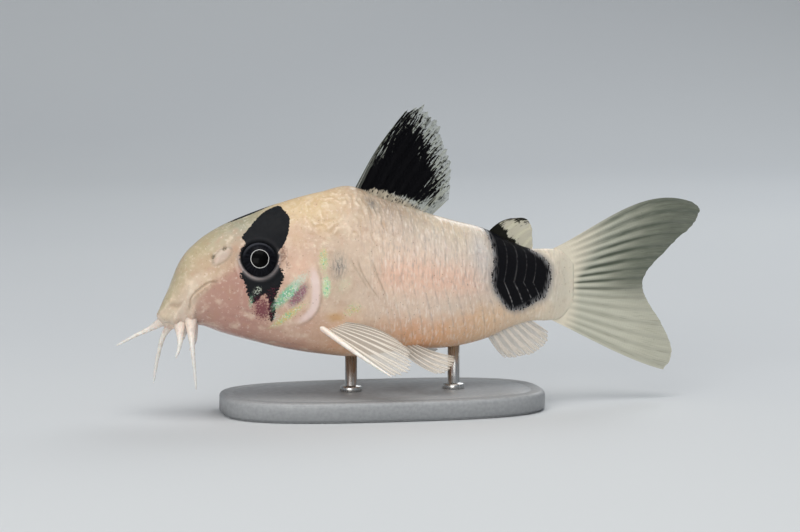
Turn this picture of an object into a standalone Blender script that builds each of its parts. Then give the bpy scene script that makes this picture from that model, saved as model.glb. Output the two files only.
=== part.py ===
"""A panda corydoras as a life-size museum model on a small stand.

The fish faces -X, with its left side to -Y and +Z up. The origin is the middle
of the stand's underside. One skin function, of a station along the fish and an
angle round it, gives the body's surface. Thin cuts part the body into head,
torso and tail, and the same function places the fins, eyes, barbels and rods.

Sizes are in millimetres, measured on a straight fish from the tip of its snout.
The last step bends the fish to its pose and turns millimetres into metres.
"""

import math
import random

import bmesh
import bpy
import numpy as np

MM = 0.001
GAP = 0.3

# Stations along the fish, from the tip of the snout
BODY_LENGTH = 40.0
GILL_STATION = 15.1
VENT_STATION = 32.4
STAND_STATION = 22.7

# The outline from the side and from above, as (station, size)
BACK = (
    (0.0, 10.5),
    (0.5, 11.7),
    (1.2, 13.1),
    (2.3, 15.7),
    (4.1, 17.6),
    (6.4, 19.0),
    (9.2, 20.1),
    (12.3, 21.1),
    (16.4, 22.1),
    (19.6, 22.6),
    (22.0, 21.6),
    (26.0, 20.2),
    (30.0, 19.0),
    (33.2, 18.1),
    (36.0, 16.7),
    (38.0, 16.0),
    (40.0, 15.9),
)
BELLY = (
    (0.0, 10.5),
    (0.4, 9.5),
    (1.4, 9.0),
    (2.6, 9.0),
    (4.0, 9.2),
    (6.2, 8.4),
    (9.2, 7.5),
    (12.2, 6.7),
    (16.0, 6.0),
    (20.0, 5.6),
    (24.5, 6.1),
    (30.7, 6.4),
    (33.3, 7.0),
    (36.0, 8.1),
    (38.0, 8.6),
    (40.0, 8.6),
)
HALF_WIDTH = (
    (0.0, 0.0),
    (0.4, 1.25),
    (1.8, 2.3),
    (4.1, 3.2),
    (7.3, 4.0),
    (10.9, 4.6),
    (15.4, 5.1),
    (20.0, 5.1),
    (25.5, 4.6),
    (30.0, 3.7),
    (34.5, 2.6),
    (38.2, 1.7),
    (40.0, 1.3),
)
# Where the section is widest, as a share of its height, and how square it is
WIDEST = (
    (0.0, 0.5),
    (3.6, 0.42),
    (9.1, 0.37),
    (14.5, 0.42),
    (21.8, 0.52),
    (30.0, 0.55),
    (40.0, 0.55),
)
CROWN = ((0.0, 2.0), (5.5, 1.9), (12.7, 1.85), (21.8, 1.75), (32.7, 1.9), (40.0, 2.0))
KEEL = ((0.0, 2.0), (3.6, 2.3), (10.9, 2.8), (23.6, 2.8), (32.7, 2.2), (40.0, 2.0))

# The pose: the head turns to the left and the tail swings to the right
HEAD_TURN_FROM = 21.8
HEAD_TURN = 0.0042
TAIL_SWING_FROM = 27.3
TAIL_SWING = 0.0037

# Angles round one side of a section, from the back to the belly, in degrees
SIDE_ANGLES = (0, 10, 22, 34, 46, 58, 70, 79, 86, 90, 94, 101, 112, 124, 136, 148, 164, 180)
HEAD_RINGS = 17
GILL_LEAN = 2.0

# Body plates, in two rows on each side that meet at the lateral line
PLATES = 23
PLATE_LIFT = 0.16
PLATE_STEP = 0.12
PLATE_BOW = 0.5
PLATE_SLANT = 1.5
PLATE_SPREAD = 0.2
PLATE_SEED = 7
UPPER_PLATES = (5, 89)
LOWER_PLATES = (91, 150)
SLANT_GROWS = 6.0
SLANT_FADES = 3.0

# Eyes: each a flattened ball in a socket, with a raised rim of skin
EYE_STATION = 9.22
EYE_HEIGHT = 15.87
EYE_RADIUS = 1.85
EYE_DEPTH = 1.3
EYE_SUNK = 0.7
EYE_SEGMENTS = 16
RIM_OUT = 0.42
RIM_THICK = 0.3
RIM_SEGMENTS = 26

# Nostrils: a low tube on each side of the snout
NOSTRIL_STATION = 5.4
NOSTRIL_HEIGHT = 16.5
NOSTRIL_RADIUS = 0.5
NOSTRIL_THICK = 0.17
NOSTRIL_DEPTH = 0.6
NOSTRIL_SEGMENTS = 12
PIT_SEGMENTS = 10

# The mouth: two lips round the lower front of the snout, and the line between them
MOUTH_CORNER = 2.7
MOUTH_SHARES = (1.0, 0.72, 0.48, 0.28, 0.13, 0.04)
MOUTH_CLEAR = 0.05
UPPER_LIP_HEIGHT = 10.45
UPPER_LIP_THICK = 0.36
UPPER_LIP_SUNK = 0.22
LOWER_LIP_HEIGHT = 9.6
LOWER_LIP_THICK = 0.34
LOWER_LIP_SUNK = 0.13
MOUTH_HEIGHT = 10.0
MOUTH_LINE_THICK = 0.13
MOUTH_LINE_OUT = 0.1
LIP_STEPS = 22

# Gill covers: parted from the head's side by a thin cut, down to a depth
COVER_OUTLINE = (
    (16.6, 15.9),
    (14.6, 16.3),
    (12.4, 15.9),
    (11.2, 14.6),
    (10.6, 12.8),
    (10.5, 11.0),
    (11.4, 9.8),
    (13.2, 9.5),
    (15.0, 9.8),
    (16.6, 10.6),
)
COVER_SIDES = 22
COVER_INNER = 3.4
COVER_OUTER = 9.0
COVER_LIFT = 0.12

# Every fin: half the thickness of its rays, web and spine, and what is left at the tip
RAY_HALF = 0.36
WEB_HALF = 0.25
SPINE_HALF = 0.42
TIP_SHARE = 0.45
WEB_NOTCH = 0.03

# The dorsal fin: where its root starts and ends, its edge, and the bow of its rays
DORSAL_FROM = 20.0
DORSAL_TO = 27.2
DORSAL_RAYS = 8
DORSAL_ROWS = 5
DORSAL_EDGE = (
    (25.2, 30.1),
    (27.1, 30.6),
    (28.2, 29.1),
    (28.9, 27.3),
    (29.5, 25.4),
    (29.7, 23.4),
    (29.5, 21.2),
)
DORSAL_BOW = ((-0.35, 0.35), (-0.2, 0.3), (0.0, 0.2), (0.0, 0.0))

# The adipose fin: a spine with a short web behind it
ADIPOSE_FROM = 33.3
ADIPOSE_TO = 38.0
ADIPOSE_RAYS = 4
ADIPOSE_ROWS = 4
ADIPOSE_EDGE = ((37.2, 19.0), (38.0, 18.4), (38.2, 17.3), (38.4, 16.4))
ADIPOSE_BOW = ((-0.1, 0.35), (0.0, 0.0))

# The anal fin
ANAL_FROM = 33.3
ANAL_TO = 37.4
ANAL_RAYS = 7
ANAL_ROWS = 4
ANAL_EDGE = ((35.4, 4.9), (37.0, 5.0), (38.5, 5.4), (39.6, 6.2), (40.0, 7.4))
ANAL_BOW = ((0.0, -0.3), (0.0, 0.0))

# The tail fin, whose rays bow most towards their tips
CAUDAL_RAYS = 16
CAUDAL_ROWS = 6
CAUDAL_SKEW = 0.8
CAUDAL_EDGE = (
    (56.3, 19.9),
    (56.4, 18.9),
    (55.5, 17.6),
    (54.0, 16.4),
    (52.7, 15.2),
    (51.4, 14.1),
    (50.5, 13.1),
    (50.1, 12.1),
    (50.3, 11.1),
    (50.9, 9.9),
    (51.9, 8.5),
    (52.8, 6.9),
    (53.4, 5.3),
    (53.3, 4.1),
    (52.5, 3.0),
)
CAUDAL_BOW = ((-0.2, 1.5), (0.0, 0.5), (0.0, 0.0), (0.0, -0.2), (0.0, -0.3))

# Paired fins of the left side; the right side mirrors them
PECTORAL_ROOT = ((15.4, 9.0), (16.4, 9.1), (17.4, 9.4))
PECTORAL_RAYS = 9
PECTORAL_ROWS = 5
PECTORAL_EDGE = (
    (21.9, -9.2, 4.6),
    (23.3, -8.9, 4.9),
    (24.0, -8.4, 5.8),
    (24.0, -7.9, 6.7),
    (23.6, -7.4, 7.4),
    (22.9, -6.9, 8.0),
)
PECTORAL_ARCH = ((-0.1, 0.0, -0.1), (0.0, -0.2, 0.3), (0.0, -0.2, 0.5))
PELVIC_ROOT = ((23.4, 6.8), (24.3, 6.7), (25.2, 6.7))
PELVIC_RAYS = 6
PELVIC_ROWS = 4
PELVIC_EDGE = ((27.2, -5.6, 4.4), (28.3, -5.1, 4.5), (29.1, -4.3, 5.0), (29.4, -3.5, 5.6))
PELVIC_DROOP = ((0.0, -0.2, -0.4), (0.0, -0.1, -0.2))
ROOT_CLEAR = 0.55

# Barbels: two at each corner of the mouth and a short pair on the chin. Each has a
# root (station, height) on the skin, and then steps back, out and down from there.
BARBEL_THICK = 0.42
BARBEL_TAPER = 0.62
BARBEL_STEPS = 10
BARBEL_SIDES = 8
BARBELS = {
    "barbel_outer_left": ((2.6, 9.9), ((-0.1, 0.3, 1.4), (0.0, 0.6, 3.5), (0.2, 0.7, 6.1))),
    "barbel_outer_right": ((2.5, 9.9), ((-0.9, 0.6, 1.3), (-1.5, 0.9, 3.6), (-1.9, 1.1, 6.3))),
    "barbel_inner_left": ((1.6, 9.55), ((-0.1, 0.2, 0.8), (-0.3, 0.4, 1.7), (-0.7, 0.5, 2.6))),
    "barbel_inner_right": ((1.3, 9.8), ((-1.0, 0.6, 0.6), (-2.4, 1.4, 1.4), (-4.0, 2.2, 2.4))),
    "barbel_chin_left": ((2.9, 9.4), ((0.0, 0.0, 0.5), (-0.2, 0.1, 1.1), (-0.5, 0.1, 1.7))),
    "barbel_chin_right": ((2.9, 9.4), ((0.0, 0.0, 0.5), (-0.2, 0.1, 1.1), (-0.5, 0.1, 1.7))),
}

# The stand: a flat oval plinth and two rods up to the belly
PLINTH_LENGTH = 32.7
PLINTH_WIDTH = 17.3
PLINTH_TALL = 2.0
PLINTH_BEVEL = 0.3
PLINTH_SEGMENTS = 40
OVAL_POWER = 0.7
ROD_RADIUS = 0.6
ROD_SEGMENTS = 12
ROD_STATIONS = {"front": 19.5, "rear": 30.0}

# Materials: name, colour, roughness and metal
SKIN = ("fish_skin", (0.80, 0.58, 0.44), 0.35, 0.0)
EYE = ("fish_eye", (0.01, 0.01, 0.015), 0.08, 0.0)
WEB = ("fin_web", (0.72, 0.72, 0.62), 0.4, 0.0)
DARK_WEB = ("dark_fin_web", (0.03, 0.03, 0.03), 0.4, 0.0)
STEEL = ("stand_steel", (0.62, 0.62, 0.60), 0.3, 1.0)
PLINTH = ("stand_plinth", (0.55, 0.54, 0.52), 0.5, 0.0)
SMOOTH_BELOW = math.radians(40)


def along(stations, x):
    """The value at station x of a smooth curve that is round at the snout."""
    roots = np.sqrt([s for s, _ in stations])
    values = np.array([v for _, v in stations], float)
    slopes = np.gradient(values, roots)
    root = math.sqrt(min(max(x, 0.0), stations[-1][0]))
    i = min(max(np.searchsorted(roots, root) - 1, 0), len(roots) - 2)
    step = roots[i + 1] - roots[i]
    t = (root - roots[i]) / step
    return (
        values[i] * (1 + 2 * t) * (1 - t) ** 2
        + values[i + 1] * t * t * (3 - 2 * t)
        + step * t * (1 - t) * (slopes[i] * (1 - t) - slopes[i + 1] * t)
    )


def spline(points, share):
    """The point at a share, from 0 to 1, of a smooth curve through the points."""
    p = np.array(points, float)
    at = min(max(share, 0.0), 1.0) * (len(p) - 1)
    i = min(int(at), len(p) - 2)
    t = at - i
    before, after = p[max(i - 1, 0)], p[min(i + 2, len(p) - 1)]
    bend = (before - 2 * p[i] + p[i + 1]) * (1 - t) + (p[i] - 2 * p[i + 1] + after) * t
    return p[i] + (p[i + 1] - p[i]) * t - bend * t * (1 - t) / 2


def blend(x, low, high):
    """0 below low and 1 above high, and smooth between."""
    t = min(max((x - low) / (high - low), 0.0), 1.0)
    return t * t * (3 - 2 * t)


def skin(x, angle):
    """The skin's point at a station and an angle: 0 is the back, 90 degrees the left side."""
    back, belly, half = along(BACK, x), along(BELLY, x), along(HALF_WIDTH, x)
    middle = belly + (back - belly) * along(WIDEST, x)
    s, c = math.sin(angle), math.cos(angle)
    power = 2 / along(CROWN if c >= 0 else KEEL, x)
    reach = back - middle if c >= 0 else middle - belly
    y = -half * math.copysign(abs(s) ** power, s)
    z = middle + reach * math.copysign(abs(c) ** power, c)
    return np.array((x, y, z))


def skin_normal(x, angle):
    """The skin's outward direction there."""
    dx, da = 0.05, 0.02
    forward = skin(x + dx, angle) - skin(max(x - dx, 0.0), angle)
    round_way = skin(x, angle + da) - skin(x, angle - da)
    normal = np.cross(round_way, forward)
    return normal / np.linalg.norm(normal)


def skin_axes(x, angle):
    """Directions along the fish, round it and out of its skin."""
    out = skin_normal(x, angle)
    forward = np.array((-1.0, 0.0, 0.0))
    forward = forward - out * (forward @ out)
    forward /= np.linalg.norm(forward)
    return forward, np.cross(out, forward), out


def angle_at(x, z):
    """The angle on the left side at which the skin at station x has height z."""
    low, high = 0.0, math.pi
    for _ in range(40):
        middle = (low + high) / 2
        low, high = (middle, high) if skin(x, middle)[2] > z else (low, middle)
    return (low + high) / 2


def both_sides(angle):
    """The left side's angle and the right side's, with the side's name."""
    return (("left", angle), ("right", 2 * math.pi - angle))


def mirrored(points, sign):
    """Points of the left side as they are, or turned over to the right side."""
    return [(x, y * sign, z) for x, y, z in points]


def lean(station, angle):
    """How far behind its station a ring of the body runs at an angle."""
    gill = GILL_LEAN * math.cos(angle) ** 3
    down = max(-math.cos(angle), 0.0)
    up = max(math.sin(2 * angle) * math.copysign(1, math.sin(angle)), 0.0)
    plates = PLATE_BOW * up + PLATE_SLANT * down * (2 - down)
    at_gill = (station / GILL_STATION) ** 2 if station < GILL_STATION else 1.0
    on_body = blend(station, GILL_STATION, GILL_STATION + SLANT_GROWS)
    to_tail = 1 - blend(station, BODY_LENGTH - SLANT_FADES, BODY_LENGTH)
    return gill * min(at_gill, 1.0) * (1 - on_body) + plates * on_body * to_tail


def plate_cover(angle):
    """1 where plates cover the body and 0 on the lateral line, back ridge and belly."""
    down = abs(math.degrees(math.atan2(math.sin(angle), math.cos(angle))))
    upper = UPPER_PLATES[0] < down < UPPER_PLATES[1]
    lower = LOWER_PLATES[0] < down < LOWER_PLATES[1]
    return float(upper or lower)


def ring(station, lift=0.0, shift=0.0):
    """The points of one ring round the body."""
    left = [math.radians(a) for a in SIDE_ANGLES]
    angles = left + [2 * math.pi - a for a in reversed(left[1:-1])]
    points = []
    for angle in angles:
        x = max(station + lean(station, angle) + shift, 0.0)
        raised = lift * plate_cover(angle)
        points.append(skin(x, angle) + skin_normal(x, angle) * raised)
    return points


def finish(values):
    """The material with these values, made once."""
    name, colour, roughness, metallic = values
    found = bpy.data.materials.get(name)
    if found:
        return found
    made = bpy.data.materials.new(name)
    made.use_nodes = True
    shader = made.node_tree.nodes["Principled BSDF"]
    shader.inputs["Base Color"].default_value = (*colour, 1.0)
    shader.inputs["Roughness"].default_value = roughness
    shader.inputs["Metallic"].default_value = metallic
    return made


def new_object(name, points, faces, material):
    """An object of these points, in millimetres until the last step."""
    mesh = bpy.data.meshes.new(name)
    mesh.from_pydata([tuple(p) for p in points], [], faces)
    bm = bmesh.new()
    bm.from_mesh(mesh)
    if bm.calc_volume(signed=True) < 0:
        bmesh.ops.reverse_faces(bm, faces=bm.faces)
    bm.to_mesh(mesh)
    bm.free()
    mesh.materials.append(finish(material))
    obj = bpy.data.objects.new(name, mesh)
    bpy.context.scene.collection.objects.link(obj)
    return obj


def loft(name, rings, material):
    """A closed body through rings of equal count; a ring of one point is a tip."""
    points = [p for r in rings for p in r]
    starts = np.cumsum([0] + [len(r) for r in rings])
    faces = []
    for i in range(len(rings) - 1):
        a, b, n = starts[i], starts[i + 1], max(len(rings[i]), len(rings[i + 1]))
        for k in range(n):
            j = (k + 1) % n
            if len(rings[i]) == 1:
                faces.append((a, b + k, b + j))
            elif len(rings[i + 1]) == 1:
                faces.append((a + k, b, a + j))
            else:
                faces.append((a + k, b + k, b + j))
                faces.append((a + k, b + j, a + j))
    for end, turn in ((0, 1), (len(rings) - 1, -1)):
        n = len(rings[end])
        if n > 1:
            centre = len(points)
            points.append(np.mean(rings[end], axis=0))
            for k in range(n):
                pair = (starts[end] + k, starts[end] + (k + 1) % n)
                faces.append((centre, *pair[::turn]))
    return new_object(name, points, [tuple(map(int, f)) for f in faces], material)


def placed_ball(name, centre, axes, radii, segments, material):
    """An ellipsoid whose third axis points out of the skin."""
    rings = [[centre + axes[2] * radii[2]]]
    for i in range(1, segments // 2):
        polar = 2 * math.pi * i / segments
        rings.append(
            [
                centre
                + axes[0] * radii[0] * math.sin(polar) * math.cos(2 * math.pi * k / segments)
                + axes[1] * radii[1] * math.sin(polar) * math.sin(2 * math.pi * k / segments)
                + axes[2] * radii[2] * math.cos(polar)
                for k in range(segments)
            ]
        )
    rings.append([centre - axes[2] * radii[2]])
    return loft(name, rings, material)


def hoop(name, centre, axes, radius, thick, segments, sides=6):
    """A ring of round section that lies on the skin."""
    points = []
    for k in range(segments):
        t = 2 * math.pi * k / segments
        way = axes[0] * math.cos(t) + axes[1] * math.sin(t)
        for j in range(sides):
            u = 2 * math.pi * j / sides
            out = axes[2] * thick * math.sin(u)
            points.append(centre + way * (radius + thick * math.cos(u)) + out)
    faces = []
    for k in range(segments):
        a, b = sides * k, sides * ((k + 1) % segments)
        for j in range(sides):
            i = (j + 1) % sides
            faces += [(a + j, b + j, b + i), (a + j, b + i, a + i)]
    return new_object(name, points, faces, SKIN)


def tube(name, points, radius, steps, taper=0.0, sides=6):
    """A round tube along a curve that thins by the taper."""
    path = [spline(points, i / steps) for i in range(steps + 1)]
    rings = []
    for i, centre in enumerate(path):
        way = path[min(i + 1, steps)] - path[max(i - 1, 0)]
        way = way / np.linalg.norm(way)
        level = np.cross(way, (0.0, 0.0, 1.0))
        if np.linalg.norm(level) < 0.35:
            level = np.cross(way, (0.0, 1.0, 0.0))
        level /= np.linalg.norm(level)
        across = np.cross(way, level)
        thick = radius * (1 - taper * (i / steps) ** 1.2)
        turns = [2 * math.pi * k / sides for k in range(sides)]
        rings.append([centre + (level * math.cos(t) + across * math.sin(t)) * thick for t in turns])
    return loft(name, rings, SKIN)


def apply_modifiers(obj):
    """Turns what the modifiers make into the object's own mesh."""
    graph = bpy.context.evaluated_depsgraph_get()
    mesh = bpy.data.meshes.new_from_object(obj.evaluated_get(graph))
    obj.modifiers.clear()
    obj.data = mesh


def boolean(obj, others, operation):
    """Joins other closed objects to this one, or cuts or keeps by them, and removes them."""
    group = bpy.data.collections.new("pieces")
    bpy.context.scene.collection.children.link(group)
    for other in others:
        bpy.context.scene.collection.objects.unlink(other)
        group.objects.link(other)
    modifier = obj.modifiers.new("join", "BOOLEAN")
    modifier.operation = operation
    modifier.operand_type = "COLLECTION"
    modifier.collection = group
    modifier.solver = "EXACT"
    apply_modifiers(obj)
    for other in others:
        bpy.data.objects.remove(other)
    bpy.data.collections.remove(group)
    keep_largest(obj)
    return obj


def keep_largest(obj):
    """Drops all but the largest closed surface, as after a cut."""
    bm = bmesh.new()
    bm.from_mesh(obj.data)
    left, best = set(bm.verts), []
    while left:
        found, edge = set(), {left.pop()}
        while edge:
            found |= edge
            edge = {e.other_vert(v) for v in edge for e in v.link_edges} - found
        left -= found
        best = max(best, list(found), key=len)
    keep = set(best)
    bmesh.ops.delete(bm, geom=[v for v in bm.verts if v not in keep], context="VERTS")
    bm.to_mesh(obj.data)
    bm.free()


def copy_of(obj, name):
    """A separate object with the same mesh."""
    made = obj.copy()
    made.data = obj.data.copy()
    made.name = name
    bpy.context.scene.collection.objects.link(made)
    return made


def make_body():
    """The torso and the tail, with their rows of plates, parted at a plate's edge."""
    pitch = (BODY_LENGTH - GILL_STATION) / PLATES
    before_vent = round((VENT_STATION - GILL_STATION) / pitch)
    draw = random.Random(PLATE_SEED)
    for name, first, count in (
        ("torso", 0, before_vent),
        ("tail", before_vent, PLATES - before_vent),
    ):
        rings = []
        for k in range(count):
            station = GILL_STATION + (first + k) * pitch
            lift = PLATE_LIFT * draw.uniform(1 - PLATE_SPREAD, 1 + PLATE_SPREAD)
            step = PLATE_STEP * draw.uniform(1.0, 1 + PLATE_SPREAD)
            rings.append(ring(station, shift=GAP / 2 if k == 0 else 0.0))
            rings.append(ring(station + pitch - step, lift=lift))
        last = GILL_STATION + (first + count) * pitch
        rings.append(ring(last, shift=-GAP / 2 if name == "torso" else 0.0))
        loft(name, rings, SKIN)


def make_head():
    """The head from the tip of the snout to the gill opening."""
    rings = [[skin(0.0, 0.0)]]
    for i in range(1, HEAD_RINGS + 1):
        shift = -GAP / 2 if i == HEAD_RINGS else 0.0
        rings.append(ring(GILL_STATION * (i / HEAD_RINGS) ** 2, shift=shift))
    return loft("head", rings, SKIN)


def make_eyes(head):
    """The eyes, with their rims raised on the head and their sockets cut in it."""
    rims, sockets = [], []
    for side, a in both_sides(angle_at(EYE_STATION, EYE_HEIGHT)):
        axes = skin_axes(EYE_STATION, a)
        on_skin = skin(EYE_STATION, a)
        centre = on_skin - axes[2] * EYE_SUNK
        radii = (EYE_RADIUS, EYE_RADIUS, EYE_DEPTH)
        placed_ball(f"eye_{side}", centre, axes, radii, EYE_SEGMENTS, EYE)
        wider = [r + GAP for r in radii]
        sockets.append(placed_ball("socket", centre, axes, wider, EYE_SEGMENTS, SKIN))
        rims.append(hoop("rim", on_skin, axes, EYE_RADIUS + RIM_OUT, RIM_THICK, RIM_SEGMENTS))
    boolean(head, rims, "UNION")
    boolean(head, sockets, "DIFFERENCE")


def make_nostrils(head):
    """The nostrils' rims and pits."""
    rims, pits = [], []
    inner = NOSTRIL_RADIUS - NOSTRIL_THICK / 2
    for _, a in both_sides(angle_at(NOSTRIL_STATION, NOSTRIL_HEIGHT)):
        axes = skin_axes(NOSTRIL_STATION, a)
        centre = skin(NOSTRIL_STATION, a)
        rims.append(hoop("rim", centre, axes, NOSTRIL_RADIUS, NOSTRIL_THICK, NOSTRIL_SEGMENTS))
        radii = (inner, inner, NOSTRIL_DEPTH)
        pits.append(placed_ball("pit", centre, axes, radii, PIT_SEGMENTS, SKIN))
    boolean(head, rims, "UNION")
    boolean(head, pits, "DIFFERENCE")


def round_mouth(height, out):
    """A path on the snout from the left corner of the mouth to the right one."""
    left = []
    for share in MOUTH_SHARES:
        x = MOUTH_CORNER * share
        z = MOUTH_HEIGHT + (height - MOUTH_HEIGHT) * (1 - share**3)
        z = min(max(z, along(BELLY, x) + MOUTH_CLEAR), along(BACK, x) - MOUTH_CLEAR)
        angle = angle_at(x, z)
        left.append(skin(x, angle) + skin_normal(x, angle) * out)
    return left + mirrored(left[::-1], -1.0)


def make_mouth(head):
    """The lips, joined to the head, and the line cut between them."""
    above = round_mouth(UPPER_LIP_HEIGHT, -UPPER_LIP_SUNK)
    below = round_mouth(LOWER_LIP_HEIGHT, -LOWER_LIP_SUNK)
    between = round_mouth(MOUTH_HEIGHT, MOUTH_LINE_OUT)
    upper = tube("upper", above, UPPER_LIP_THICK, LIP_STEPS)
    lower = tube("lower", below, LOWER_LIP_THICK, LIP_STEPS)
    boolean(head, [upper, lower], "UNION")
    boolean(head, [tube("line", between, MOUTH_LINE_THICK, LIP_STEPS)], "DIFFERENCE")


def cover_block(side, grow):
    """A block that takes in one gill cover, grown by a margin."""
    sign = -1 if side == "left" else 1
    outline = np.array([spline(COVER_OUTLINE, i / COVER_SIDES) for i in range(COVER_SIDES + 1)])
    centre = outline.mean(axis=0)
    rings = []
    for y in (COVER_INNER - grow, COVER_OUTER):
        ring_points = []
        for point in outline:
            away = (point - centre) / np.linalg.norm(point - centre)
            x, z = point + away * grow
            ring_points.append(np.array((x, sign * y, z)))
        rings.append(ring_points)
    return loft("block", rings, SKIN)


def make_gill_covers(head):
    """The gill covers, cut free of the head by the gap all round and a little raised."""
    cutters = []
    for side, sign in (("left", -1), ("right", 1)):
        cover = copy_of(head, f"gill_cover_{side}")
        boolean(cover, [cover_block(side, 0.0)], "INTERSECT")
        for vertex in cover.data.vertices:
            vertex.co.y += sign * COVER_LIFT
        cutters.append(cover_block(side, GAP))
    boolean(head, cutters, "DIFFERENCE")


def sheet(name, grid, half, material):
    """A closed sheet about a grid of points, with both faces split alike."""
    across, down = np.gradient(grid, axis=0), np.gradient(grid, axis=1)
    normal = np.cross(across, down)
    normal /= np.linalg.norm(normal, axis=2, keepdims=True)
    n, m = half.shape
    front = (grid + normal * half[..., None]).reshape(-1, 3)
    rear = (grid - normal * half[..., None]).reshape(-1, 3)
    points = np.concatenate([front, rear])
    other = n * m
    faces = []
    for i in range(n - 1):
        for j in range(m - 1):
            a, b, c, d = i * m + j, (i + 1) * m + j, (i + 1) * m + j + 1, i * m + j + 1
            faces += [(a, b, c), (a, c, d)]
            faces += [(other + a, other + c, other + b), (other + a, other + d, other + c)]
    border = [i * m for i in range(n)] + [(n - 1) * m + j for j in range(1, m)]
    border += [i * m + m - 1 for i in range(n - 2, -1, -1)] + list(range(m - 2, 0, -1))
    for a, b in zip(border, border[1:] + border[:1]):
        faces += [(b, a, other + a), (b, other + a, other + b)]
    return new_object(name, points, faces, material)


def make_fin(name, root, edge, bow, rays, rows, material, spine=RAY_HALF, skew=0.0):
    """A fin whose rays run from the root curve to the edge curve, bowed in between."""
    columns, halves = [], []
    for k in range(2 * rays - 1):
        share = k / (2 * rays - 2)
        start, end = spline(root, share), spline(edge, share)
        arch = spline(bow, share)
        is_ray = k % 2 == 0
        half = spine if k == 0 else RAY_HALF if is_ray else WEB_HALF
        reach = 1.0 if is_ray else 1 - WEB_NOTCH
        line, thick = [], []
        for j in range(rows + 1):
            v = j / rows * reach
            bowed = 4 * v * (1 - v) * (1 - skew + 2 * skew * v)
            line.append(start + (end - start) * v + arch * bowed)
            thick.append(half * (1 - (1 - TIP_SHARE) * (j / rows) ** 3))
        columns.append(line)
        halves.append(thick)
    sheet(name, np.array(columns), np.array(halves), material)


def on_plane(points):
    """Points (station, height) on the fish's middle plane."""
    return [(x, 0.0, z) for x, z in points]


def ridge(start, end, outline, lift, count):
    """Points along the back or belly outline, moved off it by a gap."""
    return on_plane([(x, along(outline, x) + lift) for x in np.linspace(start, end, count)])


def make_median_fins():
    """The fins on the fish's middle plane."""
    back = ridge(DORSAL_FROM, DORSAL_TO, BACK, GAP, 6)
    edge, bow = on_plane(DORSAL_EDGE), on_plane(DORSAL_BOW)
    make_fin("dorsal_fin", back, edge, bow, DORSAL_RAYS, DORSAL_ROWS, DARK_WEB, SPINE_HALF)

    rump = ridge(ADIPOSE_FROM, ADIPOSE_TO, BACK, GAP, 4)
    edge, bow = on_plane(ADIPOSE_EDGE), on_plane(ADIPOSE_BOW)
    make_fin("adipose_fin", rump, edge, bow, ADIPOSE_RAYS, ADIPOSE_ROWS, WEB, SPINE_HALF)

    under = ridge(ANAL_FROM, ANAL_TO, BELLY, -GAP, 4)
    edge, bow = on_plane(ANAL_EDGE), on_plane(ANAL_BOW)
    make_fin("anal_fin", under, edge, bow, ANAL_RAYS, ANAL_ROWS, WEB)

    top, bottom = along(BACK, BODY_LENGTH), along(BELLY, BODY_LENGTH)
    end = BODY_LENGTH + GAP
    root = on_plane([(end, top), (end, (top + bottom) / 2), (end, bottom)])
    edge, bow = on_plane(CAUDAL_EDGE), on_plane(CAUDAL_BOW)
    make_fin("tail_fin", root, edge, bow, CAUDAL_RAYS, CAUDAL_ROWS, WEB, skew=CAUDAL_SKEW)


def skin_root(points):
    """Root points just off the left skin, at (station, height)."""
    found = []
    for x, z in points:
        angle = angle_at(x, z)
        found.append(skin(x, angle) + skin_normal(x, angle) * ROOT_CLEAR)
    return found


def make_paired_fins():
    """The pectoral and pelvic fins of both sides."""
    for side, sign in (("left", 1), ("right", -1)):
        root = mirrored(skin_root(PECTORAL_ROOT), sign)
        edge, bow = mirrored(PECTORAL_EDGE, sign), mirrored(PECTORAL_ARCH, sign)
        name = f"pectoral_fin_{side}"
        make_fin(name, root, edge, bow, PECTORAL_RAYS, PECTORAL_ROWS, WEB, SPINE_HALF)

        root = mirrored(skin_root(PELVIC_ROOT), sign)
        edge, bow = mirrored(PELVIC_EDGE, sign), mirrored(PELVIC_DROOP, sign)
        make_fin(f"pelvic_fin_{side}", root, edge, bow, PELVIC_RAYS, PELVIC_ROWS, WEB)


def make_barbels():
    """The barbels, each from its root just off the skin or the lips."""
    clear = GAP + BARBEL_THICK + LOWER_LIP_THICK / 2
    for name, ((x, z), steps) in BARBELS.items():
        side = -1 if name.endswith("left") else 1
        angle = angle_at(x, z)
        root = skin(x, angle) + skin_normal(x, angle) * clear
        path = [root] + [root + np.array((back, -out, -down)) for back, out, down in steps]
        path = mirrored(path, -side)
        tube(name, path, BARBEL_THICK, BARBEL_STEPS, BARBEL_TAPER, BARBEL_SIDES)


def oval(length, width, z):
    """A level oval about the stand's station."""
    points = []
    for k in range(PLINTH_SEGMENTS):
        t = 2 * math.pi * k / PLINTH_SEGMENTS
        x = length / 2 * math.copysign(abs(math.cos(t)) ** OVAL_POWER, math.cos(t))
        y = width / 2 * math.copysign(abs(math.sin(t)) ** OVAL_POWER, math.sin(t))
        points.append(np.array((STAND_STATION + x, y, z)))
    return points


def belly_height(x, y):
    """The height of the belly's skin over a point, on the straight fish."""
    low, high = math.pi / 2, math.pi
    for _ in range(40):
        middle = (low + high) / 2
        low, high = (middle, high) if -skin(x, middle)[1] > abs(y) else (low, middle)
    return skin(x, (low + high) / 2)[2]


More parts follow.
